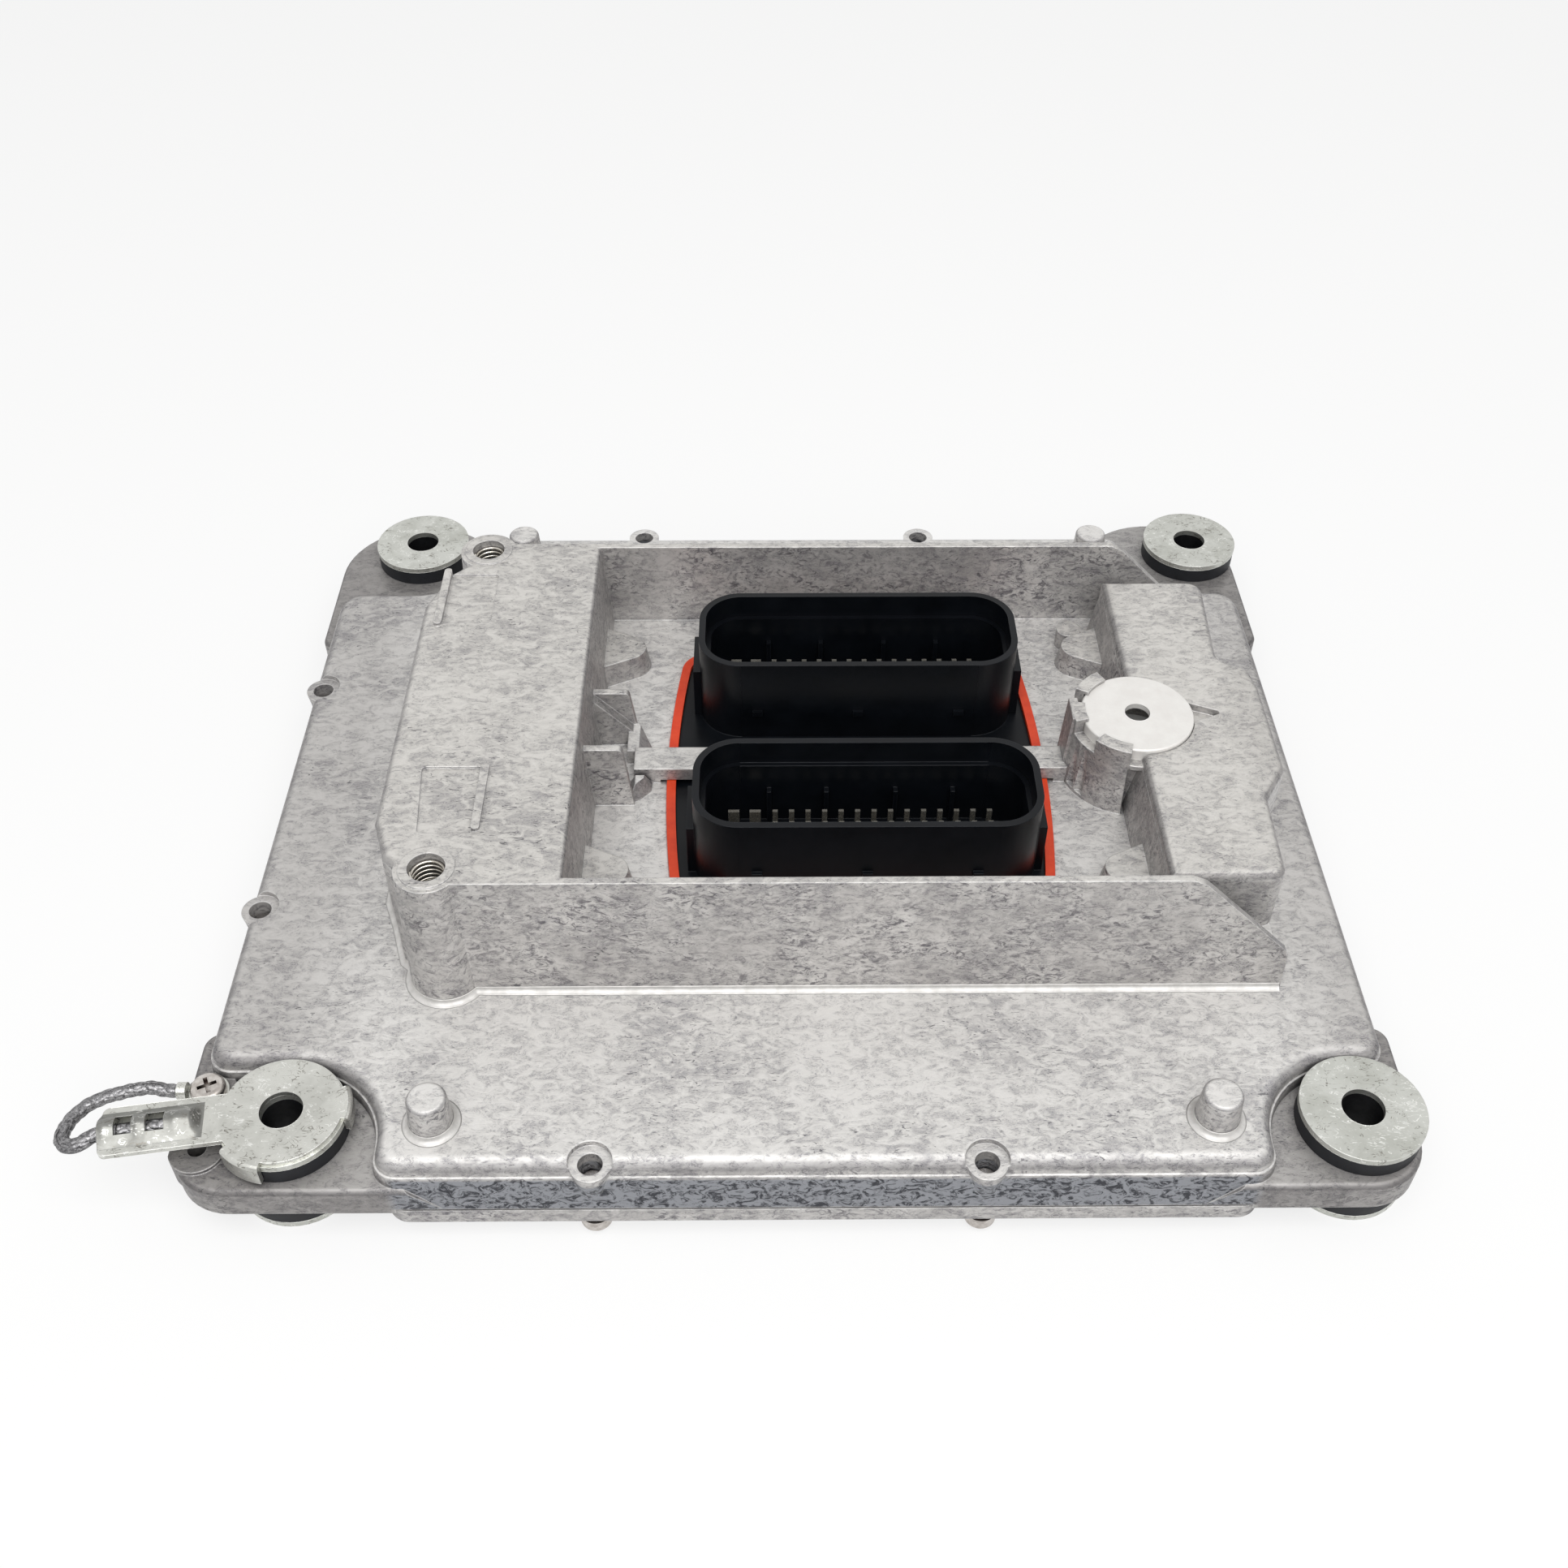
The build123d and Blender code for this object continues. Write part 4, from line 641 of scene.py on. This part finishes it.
# The casting with the deck's front left corner cut away, so that the block's side runs into its boss as it does in the
# photograph, and a wall that closes the cut towards the room inside
def trimHousing():
    look = {
        "boss": (-84.5, -65.2), "coneFoot": (22.5, 8.4), "coneTop": (59.1, 7.2), "arc": (217.0, 169.0), "steps": 14,
        "outside": [(-98.6, -51.2), (-98.6, -71.0), (-91.2, -71.0)], "side": [(-94.75, -61.65), (-98.03, -51.25)],
        "foot": 23.5, "cutTop": 36.0, "cutGap": 0.03, "wallFoot": 23.0, "wallTop": 34.88, "wallThickness": 1.2,
        "wallGap": 0.01, "wallEnd": [(-94.72, -61.62), (-93.5, -60.6)], "mergeMm": 0.0005, "sharpAngle": 30.0,
    }

    # The boss's round side in plan at a height, moved out by an offset
    def bossArc(height, offset):
        (z0, r0), (z1, r1) = look["coneFoot"], look["coneTop"]
        radius = r0 + (r1 - r0) * (height - z0) / (z1 - z0) + offset
        return arc(look["boss"], radius, *look["arc"], look["steps"])

    # A solid between the plans at two heights
    def loft(name, low, high, makePlan):
        points = [(x * mm, y * mm, z * mm) for z in (low, high) for x, y in makePlan(z)]
        count = len(points) // 2
        faces = [tuple(range(count)), tuple(range(count, 2 * count))]
        faces += [(i, (i + 1) % count, (i + 1) % count + count, i + count) for i in range(count)]
        solid = linkMesh(name, points, faces, "cast_aluminium", smooth=False)
        fixNormals(solid)
        return solid

    def cutPlan(height):
        return look["outside"] + bossArc(height, look["cutGap"]) + look["side"]

    def wallPlan(height):
        inside = bossArc(height, -look["wallThickness"])[::-1]
        return bossArc(height, look["wallGap"]) + look["wallEnd"] + inside

    mesh = frame["nodes"]["upper_housing"].data.copy()
    merged = bmesh.new()
    merged.from_mesh(mesh)
    bmesh.ops.remove_doubles(merged, verts=merged.verts, dist=look["mergeMm"] * mm)
    merged.to_mesh(mesh)
    merged.free()
    if "custom_normal" in mesh.attributes:
        mesh.attributes.remove(mesh.attributes["custom_normal"])
    mesh.materials.clear()
    mesh.materials.append(finishes["cast_aluminium"])
    housing = linkObject("trimmedHousing", mesh)
    cutter = loft("cornerCutter", look["foot"], look["cutTop"], cutPlan)
    cut = housing.modifiers.new("corner", "BOOLEAN")
    cut.operation = "DIFFERENCE"
    cut.solver = "EXACT"
    cut.object = cutter
    applyModifiers(housing)
    bpy.data.objects.remove(cutter)
    fixNormals(housing)
    housing.data.polygons.foreach_set("use_smooth", [True] * len(housing.data.polygons))
    housing.data.set_sharp_from_angle(angle=math.radians(look["sharpAngle"]))
    weights = housing.modifiers.new("weights", "WEIGHTED_NORMAL")
    weights.keep_sharp = True
    applyModifiers(housing)
    wall = loft("bossWall", look["wallFoot"], look["wallTop"], wallPlan)
    for piece in (housing, wall):
        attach(piece, "root")
    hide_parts("upper_housing")
    print("housing corner trimmed:", len(housing.data.polygons), "faces")


trimHousing()


# Small concave fillets that the casting has where its wall, boss, block and pegs stand on the base plate
def makeFootFillets():
    look = {
        "plateTop": 23.5, "radius": 1.5, "steps": 7, "sink": 0.25,
        "boss": (-84.5, -65.2), "bossRadius": 8.35, "bossStart": 169.0, "bossEnd": 325.8, "bossSteps": 30,
        "wallEnd": (103.7, -69.9), "wallSteps": 12,
        "blockSide": [(-101.05, 17.6), (-101.05, -43.2), (-98.0, -51.2), (-94.75, -61.6)],
        "pegs": [(-82.8, -105.0), (-82.8, 92.5), (82.8, -105.0), (82.8, 92.5)], "pegRadius": 4.84, "pegSteps": 36,
    }
    curve = bpy.data.curves.new("footPaths", "CURVE")
    curve.dimensions = "3D"
    curve.twist_mode = "Z_UP"

    def addPath(places, closed=False):
        spline = curve.splines.new("POLY")
        spline.points.add(len(places) - 1)
        for point, (x, y) in zip(spline.points, places):
            point.co = (x * mm, y * mm, look["plateTop"] * mm, 1.0)
        spline.use_cyclic_u = closed

    wallFoot = arc(look["boss"], look["bossRadius"], look["bossStart"], look["bossEnd"], look["bossSteps"])
    (x0, _), (x1, y1) = wallFoot[-1], look["wallEnd"]
    wallFoot += [(x0 + (x1 - x0) * i / look["wallSteps"], y1) for i in range(1, look["wallSteps"] + 1)]
    addPath(look["blockSide"] + wallFoot)
    for peg in look["pegs"]:
        addPath(arc(peg, look["pegRadius"], 0.0, 360.0, look["pegSteps"])[:-1], True)
    paths = linkObject("footPaths", curve)
    tree, given = startTree("footFillet", "Paths", ("Radius", "Sink"), "Steps", "Fillets")
    # The profile: a hollow quarter circle whose last point closes it inside the casting
    sides = addNode(tree, mathKind, [given["Steps"], 1.0], **plus)
    ring = addNode(tree, "GeometryNodeCurvePrimitiveCircle", {"Resolution": sides, "Radius": 1.0})
    index = addNode(tree, "GeometryNodeInputIndex")
    last = addNode(tree, mathKind, [given["Steps"], 1.0], **minus)
    isLast = addNode(tree, mathKind, [index, addNode(tree, mathKind, [last, 0.5], **plus)], operation="GREATER_THAN")
    share = addNode(tree, mathKind, [index, last], operation="DIVIDE")
    angle = addNode(tree, mathKind, [share, math.pi / 2], **times)
    sunk = addNode(tree, mathKind, [given["Sink"], -1.0], **times)
    ways = []
    for side in ("COSINE", "SINE"):
        short = addNode(tree, mathKind, [1.0, addNode(tree, mathKind, [angle], operation=side)], **minus)
        way = addNode(tree, mathKind, [given["Radius"], short], **times)
        ways.append(addNode(tree, mixKind, {0: isLast, 2: way, 3: sunk}, data_type="FLOAT"))
    at = addNode(tree, "ShaderNodeCombineXYZ", [ways[0], addNode(tree, mathKind, [ways[1], -1.0], **times)])
    profile = addNode(tree, "GeometryNodeSetPosition", {"Geometry": ring, "Position": at})
    strip = addNode(tree, "GeometryNodeCurveToMesh", {
        "Curve": given["Paths"], "Profile Curve": profile, "Fill Caps": True,
    })
    endTree(tree, addNode(tree, "GeometryNodeSetShadeSmooth", {"Geometry": strip}), "cast_foot", "Fillets")
    values = {"Radius": look["radius"] * mm, "Sink": look["sink"] * mm, "Steps": look["steps"]}
    fillets = linkObject("footFillets", runTree(paths, tree, values))
    bpy.data.objects.remove(paths)
    fixNormals(fillets)
    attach(fillets, "root")
    print("foot fillets:", len(fillets.data.polygons), "faces")


makeFootFillets()


# The barrel's crimped skin: one hump pressed up from the arm's sheet, with two windows over the braid
def makeCrimpSkin():
    look = {
        "mount": (-115.0, -102.0), "armAngle": 188.4, "sheetTop": 23.92, "crest": 26.5, "start": 16.0, "full": 18.7,
        "end": 37.1, "halfWidth": 4.5, "fullness": 0.7, "windows": [(23.6, 27.4), (30.2, 33.8)], "windowHalf": 2.15,
        "ridges": [(21.2, 0.22, 1.1), (28.8, 0.3, 0.9), (35.6, 0.28, 1.0)], "thickness": 0.1, "step": 0.2, "across": 44,
        "sharpAngle": 40.0,
    }
    start, long, half = look["start"], look["end"] - look["start"], look["halfWidth"]
    angle = math.radians(look["armAngle"])
    count = round(long / look["step"])
    mesh = bmesh.new()
    rows = []
    for i in range(count + 1):
        u = start + long * i / count
        rise = min(max((u - start) / (look["full"] - start), 0.0), 1.0)
        rise = rise * rise * (3 - 2 * rise)
        extra = sum(h * math.exp(-((u - place) / ridgeWidth) ** 2) for place, h, ridgeWidth in look["ridges"])
        row = []
        for j in range(look["across"] + 1):
            v = half * (2 * j / look["across"] - 1)
            hump = ((math.cos(math.pi * v / half) + 1) / 2) ** look["fullness"]
            z = look["sheetTop"] + (look["crest"] - look["sheetTop"] + extra) * hump * rise
            x = look["mount"][0] + u * math.cos(angle) - v * math.sin(angle)
            y = look["mount"][1] + u * math.sin(angle) + v * math.cos(angle)
            row.append(mesh.verts.new((x * mm, y * mm, z * mm)))
        rows.append(row)
    for i in range(count):
        u = start + long * (i + 0.5) / count
        inWindow = any(near < u < far for near, far in look["windows"])
        for j in range(look["across"]):
            v = half * (2 * (j + 0.5) / look["across"] - 1)
            if not (inWindow and abs(v) < look["windowHalf"]):
                mesh.faces.new((rows[i][j], rows[i][j + 1], rows[i + 1][j + 1], rows[i + 1][j]))
    bmesh.ops.recalc_face_normals(mesh, faces=mesh.faces)
    if sum(f.normal.z for f in mesh.faces) < 0:
        bmesh.ops.reverse_faces(mesh, faces=mesh.faces)
    bmesh.ops.solidify(mesh, geom=mesh.faces, thickness=look["thickness"] * mm)
    loose = [v for v in mesh.verts if not v.link_faces]
    bmesh.ops.delete(mesh, geom=loose, context="VERTS")
    # The rim's faces come in another order each run, so all are put in order by their places
    inOrder = sorted(mesh.faces, key=lambda face: tuple(face.calc_center_median()))
    rank = {face: i for i, face in enumerate(inOrder)}
    mesh.faces.sort(key=rank.get)
    data = bpy.data.meshes.new("crimpSkin")
    mesh.to_mesh(data)
    mesh.free()
    data.materials.append(finishes["crimped_sheet"])
    data.polygons.foreach_set("use_smooth", [True] * len(data.polygons))
    data.set_sharp_from_angle(angle=math.radians(look["sharpAngle"]))
    piece = linkObject("crimpSkin", data)
    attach(piece, "root")
    print("crimp skin:", len(data.polygons), "faces")


makeCrimpSkin()

lightLook = {
    "keySize": 1.3, "keyPower": 14.6, "keyPlace": (0.03, -0.68, 1.02),
    "skyTop": "#FFFFFF", "skyLow": "#E8EAEC", "skyStrength": 0.5,
    "floor": "#F2F2F1", "floorGlow": 0.72, "floorHalf": 4.0,
    "flag": "#26282C", "flagPlace": (0.0, -1.05), "flagWidth": 2.6, "flagBottom": 0.04, "flagTop": 0.42,
}


def plainMaterial(name, code):
    material = bpy.data.materials.new(name)
    material.use_nodes = True
    tree = material.node_tree
    tree.nodes.clear()
    return material, tree, addNode(tree, "ShaderNodeBsdfDiffuse", {"Color": toLinear(code)})


# The rays that see the pale background itself: those of the camera, and those in metal and glass
def backgroundRays(tree):
    rays = addNode(tree, "ShaderNodeLightPath").outputs
    mirrored = addNode(tree, mathKind, [rays["Is Glossy Ray"], rays["Is Transmission Ray"]], **larger)
    return addNode(tree, mathKind, [rays["Is Camera Ray"], mirrored], **larger)


def makeFloor(look):
    mesh = bpy.data.meshes.new("studioFloor")
    half = look["floorHalf"]
    mesh.from_pydata([(-half, -half, 0), (half, -half, 0), (half, half, 0), (-half, half, 0)], [], [(0, 1, 2, 3)])
    floor = linkObject("studioFloor", mesh)
    material, tree, matt = plainMaterial("paleFloor", look["floor"])
    white = addNode(tree, "ShaderNodeEmission", {"Color": (1, 1, 1, 1), "Strength": 1.0})
    seen = addNode(tree, mathKind, [backgroundRays(tree), look["floorGlow"]], **times)
    addNode(tree, "ShaderNodeOutputMaterial", {"Surface": addNode(tree, "ShaderNodeMixShader", [seen, matt, white])})
    mesh.materials.append(material)


# A dark card in front, out of the camera's sight, that gives the rounded metal edges their dark line
def makeFlag(look):
    x, y = look["flagPlace"]
    half = look["flagWidth"] / 2
    low, top = look["flagBottom"], look["flagTop"]
    mesh = bpy.data.meshes.new("darkCard")
    corners = [(x - half, y, low), (x + half, y, low), (x + half, y, top), (x - half, y, top)]
    mesh.from_pydata(corners, [], [(0, 1, 2, 3)])
    flag = linkObject("darkCard", mesh)
    material, tree, matt = plainMaterial("darkCard", look["flag"])
    addNode(tree, "ShaderNodeOutputMaterial", {"Surface": matt})
    mesh.materials.append(material)
    flag.visible_camera = False
    flag.visible_shadow = False


def makeSky(look):
    world = bpy.data.worlds.new("studioSky")
    bpy.context.scene.world = world
    world.use_nodes = True
    tree = world.node_tree
    tree.nodes.clear()
    way = addNode(tree, "ShaderNodeSeparateXYZ", [addNode(tree, "ShaderNodeTexCoord").outputs["Generated"]])
    colour = twoTone(tree, way.outputs[2], 0.0, 0.6, look["skyLow"], look["skyTop"])
    sky = addNode(tree, "ShaderNodeBackground", {"Color": colour, "Strength": look["skyStrength"]})
    white = addNode(tree, "ShaderNodeBackground", {"Color": (1, 1, 1, 1), "Strength": 1.0})
    both = addNode(tree, "ShaderNodeMixShader", [backgroundRays(tree), sky, white])
    addNode(tree, "ShaderNodeOutputWorld", {"Surface": both})


def addSoftbox(name, place, size, power):
    lamp = bpy.data.lights.new(name, "AREA")
    lamp.shape = "SQUARE"
    lamp.size = size
    lamp.energy = power
    box = linkObject(name, lamp)
    box.location = place
    box.rotation_euler = (-Vector(place)).to_track_quat("-Z", "Y").to_euler()


def addCamera(look):
    down, turn, roll = (math.radians(look[k]) for k in ("downDegrees", "turnDegrees", "rollDegrees"))
    ahead = Vector((math.sin(turn) * math.cos(down), math.cos(turn) * math.cos(down), -math.sin(down)))
    level = Vector((math.cos(turn), -math.sin(turn), 0))
    under = ahead.cross(level)
    right = level * math.cos(roll) + under * math.sin(roll)
    below = under * math.cos(roll) - level * math.sin(roll)
    data = bpy.data.cameras.new("photoCamera")
    data.lens = look["lens"]
    data.sensor_width = look["sensor"]
    camera = linkObject("photoCamera", data)
    turned = Matrix((right, -below, -ahead)).transposed()
    camera.matrix_world = Matrix.Translation(look["place"]) @ turned.to_4x4()
    bpy.context.scene.camera = camera


makeFloor(lightLook)
makeFlag(lightLook)
makeSky(lightLook)
addSoftbox("keySoftbox", lightLook["keyPlace"], lightLook["keySize"], lightLook["keyPower"])
addCamera(cameraLook)
bpy.context.scene.view_settings.view_transform = "Standard"
print("floor, light and camera set")
